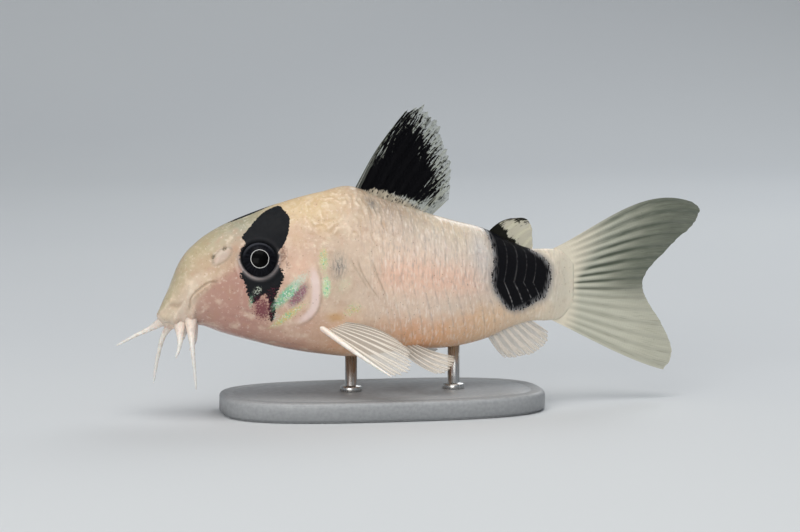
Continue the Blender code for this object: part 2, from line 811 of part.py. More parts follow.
def make_stand():
    """The plinth and the rods, which don't bend with the fish."""
    inset = 2 * PLINTH_BEVEL
    rings = [
        oval(PLINTH_LENGTH, PLINTH_WIDTH, 0.0),
        oval(PLINTH_LENGTH, PLINTH_WIDTH, PLINTH_TALL - PLINTH_BEVEL),
        oval(PLINTH_LENGTH - inset, PLINTH_WIDTH - inset, PLINTH_TALL),
    ]
    made = [loft("stand_plinth", rings, PLINTH)]
    for end, station in ROD_STATIONS.items():
        foot, top = [], []
        for k in range(ROD_SEGMENTS):
            t = 2 * math.pi * k / ROD_SEGMENTS
            x, y = station + ROD_RADIUS * math.cos(t), ROD_RADIUS * math.sin(t)
            foot.append(np.array((x, y, PLINTH_TALL + GAP)))
            top.append(np.array((x, y, belly_height(x, y) - GAP)))
        made.append(loft(f"stand_rod_{end}", [foot, top], STEEL))
    return made


def bend(x):
    """How far the middle line is off to the right at a station, and its slope."""
    head, tail = min(x - HEAD_TURN_FROM, 0.0), max(x - TAIL_SWING_FROM, 0.0)
    off = TAIL_SWING * tail**2 - HEAD_TURN * head**2
    return off, 2 * (TAIL_SWING * tail - HEAD_TURN * head)


def pose(obj, bends):
    """Bends a piece with the fish, if it bends, and sets it in metres about the origin."""
    for vertex in obj.data.vertices:
        x, y, z = vertex.co
        if bends:
            off, slope = bend(x)
            turn = math.atan(slope)
            x, y = x - y * math.sin(turn), off + y * math.cos(turn)
        vertex.co = ((x - STAND_STATION) * MM, y * MM, z * MM)


def clear_scene():
    """Removes what the scene holds."""
    for obj in list(bpy.data.objects):
        bpy.data.objects.remove(obj)


def main():
    clear_scene()
    head = make_head()
    make_mouth(head)
    make_nostrils(head)
    make_eyes(head)
    make_gill_covers(head)
    make_body()
    make_median_fins()
    make_paired_fins()
    make_barbels()
    fish = list(bpy.context.scene.collection.objects)
    stand = make_stand()
    for obj in fish:
        pose(obj, True)
    for obj in stand:
        pose(obj, False)
    for obj in fish + stand:
        obj.data.shade_smooth()
        obj.data.set_sharp_from_angle(angle=SMOOTH_BELOW)


main()
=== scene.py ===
# %% [markdown]
# # A panda corydoras, dressed for the case
# The solids of this fish already stand where they should. Here they get their looks.
# One dense skin takes the place of head, gill covers, torso and tail, so that no seam
# shows. Fins, barbels, eyes and the stand follow, each with a finish made of nodes.
# Everything is measured in millimetres on a straight fish, from the tip of its snout,
# and only the last step of each piece bends it into the pose.

# %% Load the frame
import math

import bpy
import numpy as np
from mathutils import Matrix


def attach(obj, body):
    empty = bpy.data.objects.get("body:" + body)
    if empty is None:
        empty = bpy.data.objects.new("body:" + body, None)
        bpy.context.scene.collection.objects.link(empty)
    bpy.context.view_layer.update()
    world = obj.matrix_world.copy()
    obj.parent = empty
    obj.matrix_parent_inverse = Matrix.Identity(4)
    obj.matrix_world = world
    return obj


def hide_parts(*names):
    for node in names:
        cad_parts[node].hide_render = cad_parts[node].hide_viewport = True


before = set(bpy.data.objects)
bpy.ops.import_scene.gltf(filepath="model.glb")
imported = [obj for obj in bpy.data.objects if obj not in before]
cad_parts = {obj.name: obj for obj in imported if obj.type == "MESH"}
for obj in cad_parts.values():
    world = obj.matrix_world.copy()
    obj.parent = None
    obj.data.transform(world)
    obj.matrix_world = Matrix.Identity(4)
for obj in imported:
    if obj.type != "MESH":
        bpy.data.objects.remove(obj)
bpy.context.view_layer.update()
scene = bpy.context.scene

# %% [markdown]
# ## Camera
# A long lens far off keeps the fish's shape true, as in a close portrait. The camera
# looks a little from the head's side and from a little above. Its field of view comes
# from how wide a strip the picture should take in at the fish.

# %% Camera
MM = 0.001
VIEW_AZIMUTH = math.radians(-11.0)
VIEW_ELEVATION = math.radians(6.0)
VIEW_DISTANCE = 0.33
VIEW_WIDTH = 0.0802
VIEW_TARGET = np.array((0.0018, 0.0, 0.0145))

towards = np.array(
    (
        math.sin(VIEW_AZIMUTH) * math.cos(VIEW_ELEVATION),
        -math.cos(VIEW_AZIMUTH) * math.cos(VIEW_ELEVATION),
        math.sin(VIEW_ELEVATION),
    )
)
camera_data = bpy.data.cameras.new("view")
camera_data.sensor_width = 36.0
camera_data.lens = camera_data.sensor_width * VIEW_DISTANCE / VIEW_WIDTH
camera_data.clip_start = 0.01
camera = bpy.data.objects.new("view", camera_data)
camera.location = VIEW_TARGET + towards * VIEW_DISTANCE
camera.rotation_euler = (math.pi / 2 - VIEW_ELEVATION, 0.0, VIEW_AZIMUTH)
scene.collection.objects.link(camera)
scene.camera = camera
scene.view_settings.view_transform = "Standard"
print("lens", round(camera_data.lens, 1), "mm")

# %% [markdown]
# ## Helpers for nodes
# A finish is a small graph. These helpers make a node, wire a value or a number into it,
# and return its output, so that each finish below reads like a formula.


# %% Node helpers
class Value:
    """A node's output, which can stand in a formula like a number."""

    def __init__(self, socket):
        self.socket, self.tree = socket, socket.id_data

    def __add__(self, other):
        return maths("ADD", self, other)

    def __sub__(self, other):
        return maths("SUBTRACT", self, other)

    def __rsub__(self, other):
        return maths("SUBTRACT", other, self)

    def __mul__(self, other):
        return maths("MULTIPLY", self, other)


def wire(value, socket):
    """Links a value into a socket, or sets the socket to a plain number or colour."""
    if isinstance(value, Value):
        value.tree.links.new(value.socket, socket)
    elif isinstance(value, (tuple, list)) and len(value) == 3 and socket.type == "RGBA":
        socket.default_value = (*value, 1.0)
    else:
        socket.default_value = value


def node(kind, values, wired=(0, 1, 2, 3, 4), **settings):
    """A node beside the values that it reads, with its settings, and with these wired."""
    tree = next(value.tree for value in values if isinstance(value, Value))
    made = tree.nodes.new("ShaderNode" + kind)
    for label, setting in settings.items():
        setattr(made, label, setting)
    for value, place in zip(values, wired):
        wire(value, made.inputs[place])
    return made


def maths(operation, a, b=0.0, clamp=False):
    """One Math node and its result."""
    return Value(node("Math", (a, b), operation=operation, use_clamp=clamp).outputs[0])


def larger(a, b):
    """The larger of two values."""
    return maths("MAXIMUM", a, b)


def stretch(value, low, high, to_low=0.0, to_high=1.0):
    """A smooth step of a value between two limits."""
    limits = (value, low, high, to_low, to_high)
    return Value(node("MapRange", limits, interpolation_type="SMOOTHSTEP").outputs[0])


def mix(share, a, b, way="MIX"):
    """A mix of two colours."""
    made = node("Mix", (share, a, b), (0, 6, 7), data_type="RGBA", blend_type=way, clamp_factor=True)
    return Value(made.outputs[2])


def painted(tree, name, vector=False):
    """A value that the mesh carries, such as a mask laid out over the skin."""
    made = tree.nodes.new("ShaderNodeAttribute")
    made.attribute_name = name
    return Value(made.outputs["Vector" if vector else "Fac"])


def scaled(vector, scale):
    """A place stretched along its three directions."""
    return Value(node("VectorMath", (vector, scale), operation="MULTIPLY").outputs[0])


def place_in_mm(tree):
    """The place on the piece in millimetres."""
    return scaled(Value(tree.nodes.new("ShaderNodeTexCoord").outputs["Object"]), (1 / MM,) * 3)


def parts_of(value, kind="XYZ"):
    """The three parts of a vector, or of a colour where kind is Color."""
    return [Value(part) for part in node("Separate" + kind, (value,)).outputs]


def noise(vector, scale, detail=2.0, twist=0.0):
    """Soft random values, mostly between 0.3 and 0.7."""
    inputs = ("Vector", "Scale", "Detail", "Distortion")
    return Value(node("TexNoise", (vector, scale, detail, twist), inputs).outputs[0])


def cells(vector, scale):
    """The distance to the nearest of many scattered points, and a random colour each."""
    made = node("TexVoronoi", (vector, scale), ("Vector", "Scale"))
    return Value(made.outputs["Distance"]), Value(made.outputs["Color"])


def ramp(value, stops):
    """A colour for each value, from (value, colour) stops."""
    made = node("ValToRGB", (value,))
    points = made.color_ramp.elements
    for i, (at, colour) in enumerate(stops):
        point = points[i] if i < 2 else points.new(at)
        point.position = at
        point.color = (*colour, 1.0)
    return Value(made.outputs[0])


def bump(height, strength, distance):
    """A normal bent by a height in millimetres."""
    made = node("Bump", (height, strength, distance * MM), ("Height", "Strength", "Distance"))
    return Value(made.outputs[0])


def new_material(name):
    """A material with its node tree and its Principled shader."""
    made = bpy.data.materials.new(name)
    made.use_nodes = True
    return made, made.node_tree, made.node_tree.nodes["Principled BSDF"]


def set_constants(shader, **values):
    """Sets inputs of the Principled shader by name, with _ for a space."""
    for label, value in values.items():
        shader.inputs[label.replace("_", " ")].default_value = value


def new_group(name, inputs, outputs):
    """A node group with named sockets, and its inner input and output nodes."""
    tree = bpy.data.node_groups.new(name, "ShaderNodeTree")
    for label, kind, start in inputs:
        socket = tree.interface.new_socket(label, in_out="INPUT", socket_type=kind)
        if start is not None:
            socket.default_value = start
    for label, kind in outputs:
        tree.interface.new_socket(label, in_out="OUTPUT", socket_type=kind)
    given = {s.name: Value(s) for s in tree.nodes.new("NodeGroupInput").outputs if s.name}
    return tree, given, tree.nodes.new("NodeGroupOutput").inputs


def use_group(tree, group, **values):
    """Places a group in a finish and sets its inputs by name."""
    made = tree.nodes.new("ShaderNodeGroup")
    made.node_tree = group
    for label, value in values.items():
        wire(value, made.inputs[label.replace("_", " ")])
    return {s.name: Value(s) for s in made.outputs}


print("node helpers ready")

# %% [markdown]
# ## Effects that several finishes share
# Black pigment on this fish never ends in a clean line. It breaks up into dots and
# dashes. The first group turns a distance inside a patch into such a ragged mask, and
# the skin and the fins use it. The second scatters single pigment cells. The third
# gives the green and golden sparkle of crystals under the skin. The last is the fine
# grain of wet skin, for the bump and the roughness.

# %% Shared groups
NUMBER, VECTOR = "NodeSocketFloat", "NodeSocketVector"

ragged, given, result = new_group(
    "ragged_edge",
    [("Inside", NUMBER, 0.0), ("Place", VECTOR, None), ("Grain", NUMBER, 5.0), ("Reach", NUMBER, 0.5)],
    [("Mask", NUMBER)],
)
coarse = noise(given["Place"], given["Grain"], 4.0, 0.4) - 0.5
edge = given["Inside"] + coarse * 4.0 * given["Reach"]
wire(stretch(edge, -0.06, 0.06), result["Mask"])

dots, given, result = new_group(
    "pigment_dots",
    [("Place", VECTOR, None), ("Scale", NUMBER, 4.0), ("Size", NUMBER, 0.25), ("Share", NUMBER, 0.3)],
    [("Mask", NUMBER)],
)
distance, colour = cells(given["Place"], given["Scale"])
chance = parts_of(colour, "Color")
kept = maths("LESS_THAN", chance[0], given["Share"])
near = given["Size"] * (chance[1] + 0.4) - distance
wire(stretch(near, 0.0, 0.1) * kept, result["Mask"])

flecks, given, result = new_group(
    "bright_flecks",
    [("Place", VECTOR, None), ("Scale", NUMBER, 6.0)],
    [("Colour", "NodeSocketColor"), ("Mask", NUMBER)],
)
distance, colour = cells(given["Place"], given["Scale"])
chance = parts_of(colour, "Color")
GLOSS_TONES = (
    (0.0, (0.14, 0.62, 0.42)), (0.3, (0.30, 0.76, 0.50)), (0.55, (0.76, 0.84, 0.46)),
    (0.75, (0.92, 0.98, 0.90)), (1.0, (0.66, 0.46, 0.62)),
)
wire(ramp(chance[0], GLOSS_TONES), result["Colour"])
wire(stretch(chance[1], 0.42, 0.52), result["Mask"])

grain, given, result = new_group(
    "wet_grain",
    [("Place", VECTOR, None), ("Scale", NUMBER, 3.0), ("Gloss", NUMBER, 0.3)],
    [("Height", NUMBER), ("Roughness", NUMBER)],
)
broad = noise(given["Place"], given["Scale"], 3.0)
fine = noise(given["Place"], given["Scale"] * 6.0, 2.0)
height = broad + fine * 0.35
wire(height, result["Height"])
spread = (broad - 0.5) * 0.5
wire(maths("ADD", given["Gloss"], spread, clamp=True), result["Roughness"])
print("groups:", [g.name for g in bpy.data.node_groups])

# %% [markdown]
# ## Floor and light
# A museum shows such a model on a plain pale sweep. The floor is one sheet that curves
# up behind the fish, so that no horizon cuts the picture. Three large lamps stand in
# for the sky of a tank: one above, one from the front and one behind to catch the fins.

# %% Floor and light
SWEEP_WIDTH, SWEEP_FRONT, SWEEP_BACK, SWEEP_RISE = 3.0, -1.2, 0.30, 0.30
profile = [(SWEEP_FRONT, 0.0), (SWEEP_BACK, 0.0)]
profile += [
    (SWEEP_BACK + SWEEP_RISE * math.sin(t), SWEEP_RISE * (1 - math.cos(t)))
    for t in np.linspace(0.05, math.pi / 2, 24)
]
profile.append((SWEEP_BACK + SWEEP_RISE, 2.0))
sweep = bpy.data.meshes.new("sweep")
sweep.from_pydata(
    [(side * SWEEP_WIDTH / 2, y, z) for y, z in profile for side in (-1, 1)],
    [],
    [(2 * i, 2 * i + 1, 2 * i + 3, 2 * i + 2) for i in range(len(profile) - 1)],
)
sweep.shade_smooth()
floor = bpy.data.objects.new("sweep", sweep)
scene.collection.objects.link(floor)
made, tree, shader = new_material("pale_sweep")
place = Value(tree.nodes.new("ShaderNodeTexCoord").outputs["Object"])
tone = ramp(noise(place, 6.0), [(0.3, (0.60, 0.62, 0.64)), (0.7, (0.64, 0.66, 0.67))])
wire(tone, shader.inputs["Base Color"])
set_constants(shader, Roughness=0.85)
sweep.materials.append(made)

world = bpy.data.worlds.new("room")
world.use_nodes = True
world.node_tree.nodes["Background"].inputs[0].default_value = (0.86, 0.92, 1.0, 1.0)
world.node_tree.nodes["Background"].inputs[1].default_value = 0.30
scene.world = world

# Each lamp: its place, its two sizes, its power and its colour.
LAMPS = {
    "above": ((-0.04, -0.12, 0.42), (0.40, 0.30), 1.15, (1.0, 0.98, 0.95)),
    "front": ((-0.20, -0.38, 0.14), (0.26, 0.20), 0.85, (1.0, 0.97, 0.93)),
    "behind": ((0.22, 0.25, 0.26), (0.25, 0.20), 0.45, (0.95, 0.98, 1.0)),
}
for name, (at, size, power, colour) in LAMPS.items():
    lamp = bpy.data.lights.new(name, "AREA")
    lamp.shape = "RECTANGLE"
    lamp.size, lamp.size_y = size
    lamp.energy = power
    lamp.color = colour
    placed = bpy.data.objects.new(name, lamp)
    placed.location = at
    away = placed.location - type(placed.location)((0.0, 0.0, 0.015))
    placed.rotation_euler = away.to_track_quat("Z", "Y").to_euler()
    scene.collection.objects.link(placed)
print("lamps:", list(LAMPS))

# %% [markdown]
# ## The body's surface as a formula
# A corydoras is a flat-bellied wedge in plates. Each cross section is a rounded box that
# is widest low on the head and half way up on the tail. So the surface can be a function
# of two numbers: the station along the fish, and the angle round it from the back. The
# sizes are the ones the solids were built from, and they are repeated here.

# %% Body outlines
GILL_STATION = 15.1
BODY_LENGTH = 40.0
SKIN_LENGTH = 42.6
STAND_STATION = 22.7

BACK = (
    (0.0, 10.5), (0.5, 11.7), (1.2, 13.1), (2.3, 15.7), (4.1, 17.6), (6.4, 19.0), (9.2, 20.1),
    (12.3, 21.1), (16.4, 22.1), (19.6, 22.6), (22.0, 21.6), (26.0, 20.2), (30.0, 19.0),
    (33.2, 18.1), (36.0, 16.7), (38.0, 16.0), (40.0, 15.9), (41.3, 15.7), (42.6, 14.4),
)
BELLY = (
    (0.0, 10.5), (0.4, 9.5), (1.4, 9.0), (2.6, 9.0), (4.0, 9.2), (6.2, 8.4), (9.2, 7.5), (12.2, 6.7),
    (16.0, 6.0), (20.0, 5.6), (24.5, 6.1), (30.7, 6.4), (33.3, 7.0), (36.0, 8.1), (38.0, 8.6),
    (40.0, 8.6), (41.3, 8.8), (42.6, 10.2),
)
HALF_WIDTH = (
    (0.0, 0.0), (0.4, 1.25), (1.8, 2.3), (4.1, 3.2), (7.3, 4.0), (10.9, 4.6), (15.4, 5.1),
    (20.0, 5.1), (25.5, 4.6), (30.0, 3.7), (34.5, 2.6), (38.2, 1.7), (40.0, 1.3),
    (41.0, 0.80), (41.8, 0.40), (42.6, 0.13),
)
WIDEST = (
    (0.0, 0.5), (3.6, 0.42), (9.1, 0.37), (14.5, 0.42), (21.8, 0.52), (30.0, 0.55), (42.6, 0.55),
)
CROWN = ((0.0, 2.0), (5.5, 1.9), (12.7, 1.85), (21.8, 1.75), (32.7, 1.9), (42.6, 2.0))
KEEL = ((0.0, 2.0), (3.6, 2.3), (10.9, 2.8), (23.6, 2.8), (32.7, 2.2), (42.6, 2.0))


def along(stations, x):
    """Values at stations x of a smooth curve that is round at the snout."""
    roots = np.sqrt([s for s, _ in stations])
    values = np.array([v for _, v in stations])
    slopes = np.gradient(values, roots)
    root = np.sqrt(np.clip(x, 0.0, stations[-1][0]))
    i = np.clip(np.searchsorted(roots, root) - 1, 0, len(roots) - 2)
    step = roots[i + 1] - roots[i]
    t = (root - roots[i]) / step
    ends = values[i] * (1 + 2 * t) * (1 - t) ** 2 + values[i + 1] * t * t * (3 - 2 * t)
    return ends + step * t * (1 - t) * (slopes[i] * (1 - t) - slopes[i + 1] * t)


def surface(x, angle):
    """Points of the bare skin: angle 0 is the back and 90 degrees the left side."""
    x, angle = np.broadcast_arrays(np.asarray(x, float), np.asarray(angle, float))
    back, belly, half = along(BACK, x), along(BELLY, x), along(HALF_WIDTH, x)
    middle = belly + (back - belly) * along(WIDEST, x)
    s, c = np.sin(angle), np.cos(angle)
    power = 2 / np.where(c >= 0, along(CROWN, x), along(KEEL, x))
    reach = np.where(c >= 0, back - middle, middle - belly)
    y = -half * np.sign(s) * np.abs(s) ** power
    z = middle + reach * np.sign(c) * np.abs(c) ** power
    return np.stack([x, y, z], axis=-1)


def outward(x, angle):
    """Directions straight out of the bare skin."""
    forward = surface(x + 0.05, angle) - surface(np.maximum(x - 0.05, 0.0), angle)
    round_way = surface(x, angle + 0.02) - surface(x, angle - 0.02)
    normal = np.cross(round_way, forward)
    return normal / np.linalg.norm(normal, axis=-1, keepdims=True)


def angle_at(x, height):
    """The angle on the left side at which the skin has a height."""
    low, high = 0.0, math.pi
    for _ in range(40):
        middle = (low + high) / 2
        low, high = (middle, high) if surface(x, middle)[2] > height else (low, middle)
    return (low + high) / 2


def smooth(x, low, high):
    """0 below low and 1 above high, and smooth between."""
    t = np.clip((x - low) / (high - low), 0.0, 1.0)
    return t * t * (3 - 2 * t)


def spline(points, share):
    """The point at a share, from 0 to 1, of a smooth curve through the points."""
    p = np.array(points, float)
    at = min(max(share, 0.0), 1.0) * (len(p) - 1)
    i = min(int(at), len(p) - 2)
    t = at - i
    before, after = p[max(i - 1, 0)], p[min(i + 2, len(p) - 1)]
    bend = (before - 2 * p[i] + p[i + 1]) * (1 - t) + (p[i] - 2 * p[i + 1] + after) * t
    return p[i] + (p[i + 1] - p[i]) * t - bend * t * (1 - t) / 2


def trace(points, steps):
    """Even shares of that smooth curve, as an array."""
    return np.array([spline(points, i / steps) for i in range(steps + 1)])


print("girth in the middle:", np.round(np.ptp(surface(20.0, np.linspace(0, 6.28, 99)), axis=0), 1))

# %% [markdown]
# ## The pose
# The fish in the picture turns its head towards us and swings its tail away. A bend of
# the middle line does both. Each point moves off sideways by the curve and turns with
# its slope, and then millimetres become metres about the middle of the stand.

# %% Pose and mesh helpers
HEAD_TURN_FROM, HEAD_TURN = 21.8, 0.0042
TAIL_SWING_FROM, TAIL_SWING = 27.3, 0.0037


def posed(points, bends=True):
    """Points in millimetres on the straight fish, as metres in the pose."""
    x, y, z = np.moveaxis(np.asarray(points, float), -1, 0)
    if bends:
        head, tail = np.minimum(x - HEAD_TURN_FROM, 0.0), np.maximum(x - TAIL_SWING_FROM, 0.0)
        off = TAIL_SWING * tail**2 - HEAD_TURN * head**2
        turn = np.arctan(2 * (TAIL_SWING * tail - HEAD_TURN * head))
        x, y = x - y * np.sin(turn), off + y * np.cos(turn)
    return np.stack([x - STAND_STATION, y, z], axis=-1) * MM


def new_piece(name, points, faces, material, nodes=(), values=None, places=None):
    """A piece of the model that rides on the fish, with values that its finish reads."""
    mesh = bpy.data.meshes.new(name)
    mesh.from_pydata(points.reshape(-1, 3).tolist(), [], faces.tolist())
    for label, value in (values or {}).items():
        kind, field = ("FLOAT_VECTOR", "vector") if value.ndim > 1 else ("FLOAT", "value")
        mesh.attributes.new(label, kind, "POINT").data.foreach_set(
            field, value.astype(np.float32).ravel()
        )
    if places is not None:
        mesh.uv_layers.new(name="OFBake").data.foreach_set("uv", places.astype(np.float32).ravel())
    mesh.shade_smooth()
    mesh.materials.append(material)
    piece = bpy.data.objects.new(name, mesh)
    scene.collection.objects.link(piece)
    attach(piece, "root")
    if nodes:
        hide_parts(*nodes)
    print(name, len(faces), "faces")
    return piece


def grid_faces(rows, columns, wraps):
    """Quads over a grid of points, and where each corner lies on it from 0 to 1."""
    i, j = np.meshgrid(np.arange(rows - 1), np.arange(columns - (not wraps)), indexing="ij")
    i, j = i.ravel(), j.ravel()
    corners = [(i, j), (i, j + 1), (i + 1, j + 1), (i + 1, j)]
    faces = np.stack([a * columns + b % columns for a, b in corners], axis=1)
    spans = (rows - 1, columns if wraps else columns - 1)
    places = np.stack([np.stack([a / spans[0], b / spans[1]], axis=1) for a, b in corners], axis=1)
    return faces, places


print("a point of the nose in the pose:", posed((0.0, 0.0, 10.5)))

# %% [markdown]
# ## A grid that follows the plates
# Two rows of bony plates cover each flank and meet at the lateral line. Their rear edges
# lean back like a row of arrow heads. The grid's rings follow those edges, so that a
# plate can end in a crisp step that is finer than the grid elsewhere. Round the body the
# rows are spaced evenly on the skin, with one row exactly on the lateral line.

# %% Skin grid
PLATES = 23
PLATE_BOW, PLATE_SLANT = 0.5, 1.5
HEAD_RINGS = 172
END_RINGS = 24
UPPER_ROWS, LOWER_ROWS = 60, 50
PLATE_PHASES = np.array((0.0, 0.12, 0.25, 0.38, 0.51, 0.64, 0.76, 0.86, 0.93, 0.97))
pitch = (BODY_LENGTH - GILL_STATION) / PLATES


def even_angles(start, end, rows):
    """Angles that space rows evenly over the skin of a typical section."""
    fine = np.linspace(start, end, 600)
    steps = np.linalg.norm(np.diff(surface(14.0, fine), axis=0), axis=1)
    walked = np.concatenate([[0.0], np.cumsum(steps)])
    return np.interp(np.linspace(0.0, walked[-1], rows + 1), walked, fine)


def plate_lean(station, angle):
    """How far behind its station a ring runs at an angle, along the plates' edges."""
    down = np.maximum(-np.cos(angle), 0.0)
    up = np.maximum(np.sin(2 * angle) * np.sign(np.sin(angle)), 0.0)
    on_body = smooth(station, GILL_STATION, GILL_STATION + 6) * (1 - smooth(station, 37.0, 40.0))
    return (PLATE_BOW * up + PLATE_SLANT * down * (2 - down)) * on_body


half_turn = np.concatenate(
    [
        even_angles(0.0, math.pi / 2, UPPER_ROWS),
        even_angles(math.pi / 2, math.pi, LOWER_ROWS)[1:],
    ]
)
angles = np.concatenate([half_turn, 2 * math.pi - half_turn[-2:0:-1]])
stations = np.concatenate(
    [
        GILL_STATION * (np.arange(1, HEAD_RINGS + 1) / HEAD_RINGS) ** 1.3,
        (GILL_STATION + pitch * (np.arange(PLATES)[:, None] + PLATE_PHASES)).ravel()[1:],
        np.linspace(BODY_LENGTH, SKIN_LENGTH, END_RINGS),
    ]
)
ring, turn = np.meshgrid(stations, angles, indexing="ij")
along_fish = np.minimum(ring + plate_lean(ring, turn), SKIN_LENGTH)
bare = surface(along_fish, turn)
out = outward(along_fish, turn)
half = len(half_turn)
steps = np.linalg.norm(np.diff(bare[:, :half], axis=1), axis=2)
walked = np.concatenate([np.zeros((len(stations), 1)), np.cumsum(steps, axis=1)], axis=1)
down = np.concatenate([walked, walked[:, -2:0:-1]], axis=1)
share_down = down / walked[:, -1:]
print("rings", len(stations), "points round", len(angles))

# %% [markdown]
# ## Lines and patches on the skin
# Wrinkles, seams and markings are drawn with two numbers as well: the station, and how
# far down from the back's middle line they lie over the skin. One helper gives every
# point's distance to a drawn line, the other how far it lies inside a closed outline.


# %% Drawing helpers
def from_line(points, x=None, y=None, bends=8):
    """Distance of each skin point to a drawn line, and its share along the line."""
    x, y = (along_fish, down) if x is None else (x, y)
    path = trace(points, bends * (len(points) - 1))
    best, where = np.full(x.shape, 99.0), np.zeros(x.shape)
    for i, (a, b) in enumerate(zip(path, path[1:])):
        way = b - a
        t = np.clip(((x - a[0]) * way[0] + (y - a[1]) * way[1]) / (way @ way + 1e-9), 0.0, 1.0)
        away = np.hypot(x - a[0] - way[0] * t, y - a[1] - way[1] * t)
        closer = away < best
        best = np.where(closer, away, best)
        where = np.where(closer, (i + t) / (len(path) - 1), where)
    return best, where


def inside(outline, x=None, y=None, bends=6):
    """How far inside a closed outline each skin point lies, and below 0 outside it."""
    x, y = (along_fish, down) if x is None else (x, y)
    closed = [outline[-1], *outline, outline[0], outline[1]]
    path = trace(closed, bends * (len(closed) - 1))[bends : -bends]
    best, crossings = np.full(x.shape, 99.0), np.zeros(x.shape, int)
    for a, b in zip(path, path[1:]):
        way = b - a
        t = np.clip(((x - a[0]) * way[0] + (y - a[1]) * way[1]) / (way @ way + 1e-9), 0.0, 1.0)
        best = np.minimum(best, np.hypot(x - a[0] - way[0] * t, y - a[1] - way[1] * t))
        spans = (a[1] > y) != (b[1] > y)
        if abs(way[1]) > 1e-9:
            crossings += spans & (x < a[0] + (y - a[1]) * way[0] / way[1])
    return np.where(crossings % 2 == 1, best, -best)


def spot(station, below, length, height, tilt=0.0):
    """A soft round mask about a place on the skin, turned by a tilt in degrees."""
    c, s = math.cos(math.radians(tilt)), math.sin(math.radians(tilt))
    a, b = along_fish - station, down - below
    return np.exp(-(((a * c + b * s) / length) ** 2) - ((b * c - a * s) / height) ** 2)


def fold(points, width, rise, fade=0.25):
    """A ridge, or a groove where rise is below 0, that fades out at both ends."""
    away, where = from_line(points)
    return rise * np.exp(-((away / width) ** 2)) * smooth(np.minimum(where, 1 - where), 0, fade)


print("the eye lies", round(float(np.interp(angle_at(9.3, 16.0), half_turn, walked[128])), 1), "mm down")

# %% [markdown]
# ## Plates, lateral line and wrinkles
# A plate rises slowly towards its rear edge and drops to the next one. The rise is only
# a few hundredths of a millimetre, because thick wet skin lies over the bone. On the
# nape the skin is wrinkled instead: the ridges run in rings round one centre and then
# fall in with the rows of plates. A warped distance gives both kinds of ridge.

# %% Relief of the body
PLATE_LIFT = 0.055
rng = np.random.default_rng(11)
number = np.floor((ring - GILL_STATION) / pitch).astype(int)
phase = (ring - GILL_STATION) / pitch - number
on_plates = (ring >= GILL_STATION) & (ring < BODY_LENGTH)
vary = rng.uniform(0.6, 1.25, (PLATES + 1, 2))
upper = np.minimum(turn, 2 * math.pi - turn) < math.pi / 2
each = vary[np.clip(number, 0, PLATES), upper.astype(int)]
rise = np.where(phase < 0.86, (phase / 0.86) ** 1.4, (1 - phase) / 0.14) * each
lateral = np.abs(down - walked[:, UPPER_ROWS : UPPER_ROWS + 1])
belly_edge = 1 - smooth(share_down, 0.78, 0.88)
back_edge = smooth(down, 0.5, 1.3)
line_edge = smooth(lateral, 0.0, 0.3)
to_tail = 1 - smooth(ring, 37.5, 39.5)
shoulder = np.where(upper, smooth(ring, 18.5, 22.5), smooth(ring, 19.5, 23.0)) * to_tail
plates = on_plates * rise * belly_edge * back_edge * line_edge * shoulder
broken = 0.65 + 0.35 * np.sin(1.9 * down + 2.4 * number) * np.sin(0.8 * down - 1.7 * number)
relief = PLATE_LIFT * plates * broken
relief -= 0.02 * np.exp(-((lateral / 0.12) ** 2)) * smooth(ring, 21.0, 24.0) * to_tail
ripple = np.sin(11 * along_fish + 2 * np.sin(1.3 * down)) * np.sin(2.9 * down + 1.1 * along_fish)
relief += 0.008 * ripple * shoulder * on_plates

NAPE_CENTRE, NAPE_STEP = (16.4, 3.3), 0.72
from_nape = np.hypot(along_fish - NAPE_CENTRE[0], 0.85 * (down - NAPE_CENTRE[1]))
warp = 0.20 * np.sin(2.1 * along_fish + 1.3 * down) + 0.16 * np.sin(3.4 * down - along_fish + 1)
warp += 0.22 * np.sin(3.7 * along_fish + 1.9 * down) * np.sin(2.6 * down - 1.3 * along_fish)
warp *= np.where(bare[..., 1] <= 0, 1.0, 1.9)
patchy = 0.45 + 0.55 * np.sin(1.7 * along_fish + 0.6) * np.sin(1.9 * down + 0.8 * along_fish)
behind = smooth(along_fish, 17.3, 19.4)
rows = (along_fish - 17.0 + 0.25 * np.sin(0.7 * down)) / NAPE_STEP
whorl = (1 - behind) * from_nape / NAPE_STEP + behind * rows + warp
wrinkled = smooth(along_fish, 12.9, 14.4) * (1 - smooth(along_fish, 21.5, 24.5))
wrinkled *= smooth(down, 0.3, 1.2) * (1 - smooth(down, 6.3, 8.3))
wrinkle = np.cos(2 * math.pi * whorl) * wrinkled * (0.35 + 0.65 * np.abs(patchy))
relief += 0.045 * wrinkle + 0.012 * np.cos(4.4 * math.pi * whorl + 1) * wrinkled

SHOULDER_FOLDS = (
    ((18.4, 8.6), (18.9, 9.8), (19.7, 11.0), (20.4, 11.9)),
    ((19.1, 8.6), (19.6, 10.2), (20.7, 11.6), (21.7, 12.5)),
    ((20.7, 8.6), (21.1, 9.6), (21.8, 11.0), (22.4, 12.2)),
)
creases = np.zeros_like(relief)
for path in SHOULDER_FOLDS:
    creases += fold(path, 0.10, 1.0)
    relief += fold([(x - 0.36, y + 0.06) for x, y in path], 0.28, 0.08)
relief -= 0.07 * creases
relief += 0.10 * spot(16.1, 7.6, 1.1, 0.38, 14) - 0.07 * spot(16.4, 8.5, 1.3, 0.3, 12)
print("relief of the plates up to", round(float(relief.max()), 3), "mm")

# %% [markdown]
# ## The head
# The head of a corydoras is bone under thin skin. Its marks are a gill cover with a soft
# rear edge, a crease from under the eye to the corner of the mouth, a nostril in two
# parts, and small fleshy lips that point down. Each is a rise or a dip of the same skin,
# so that the folds run into one another as flesh does.

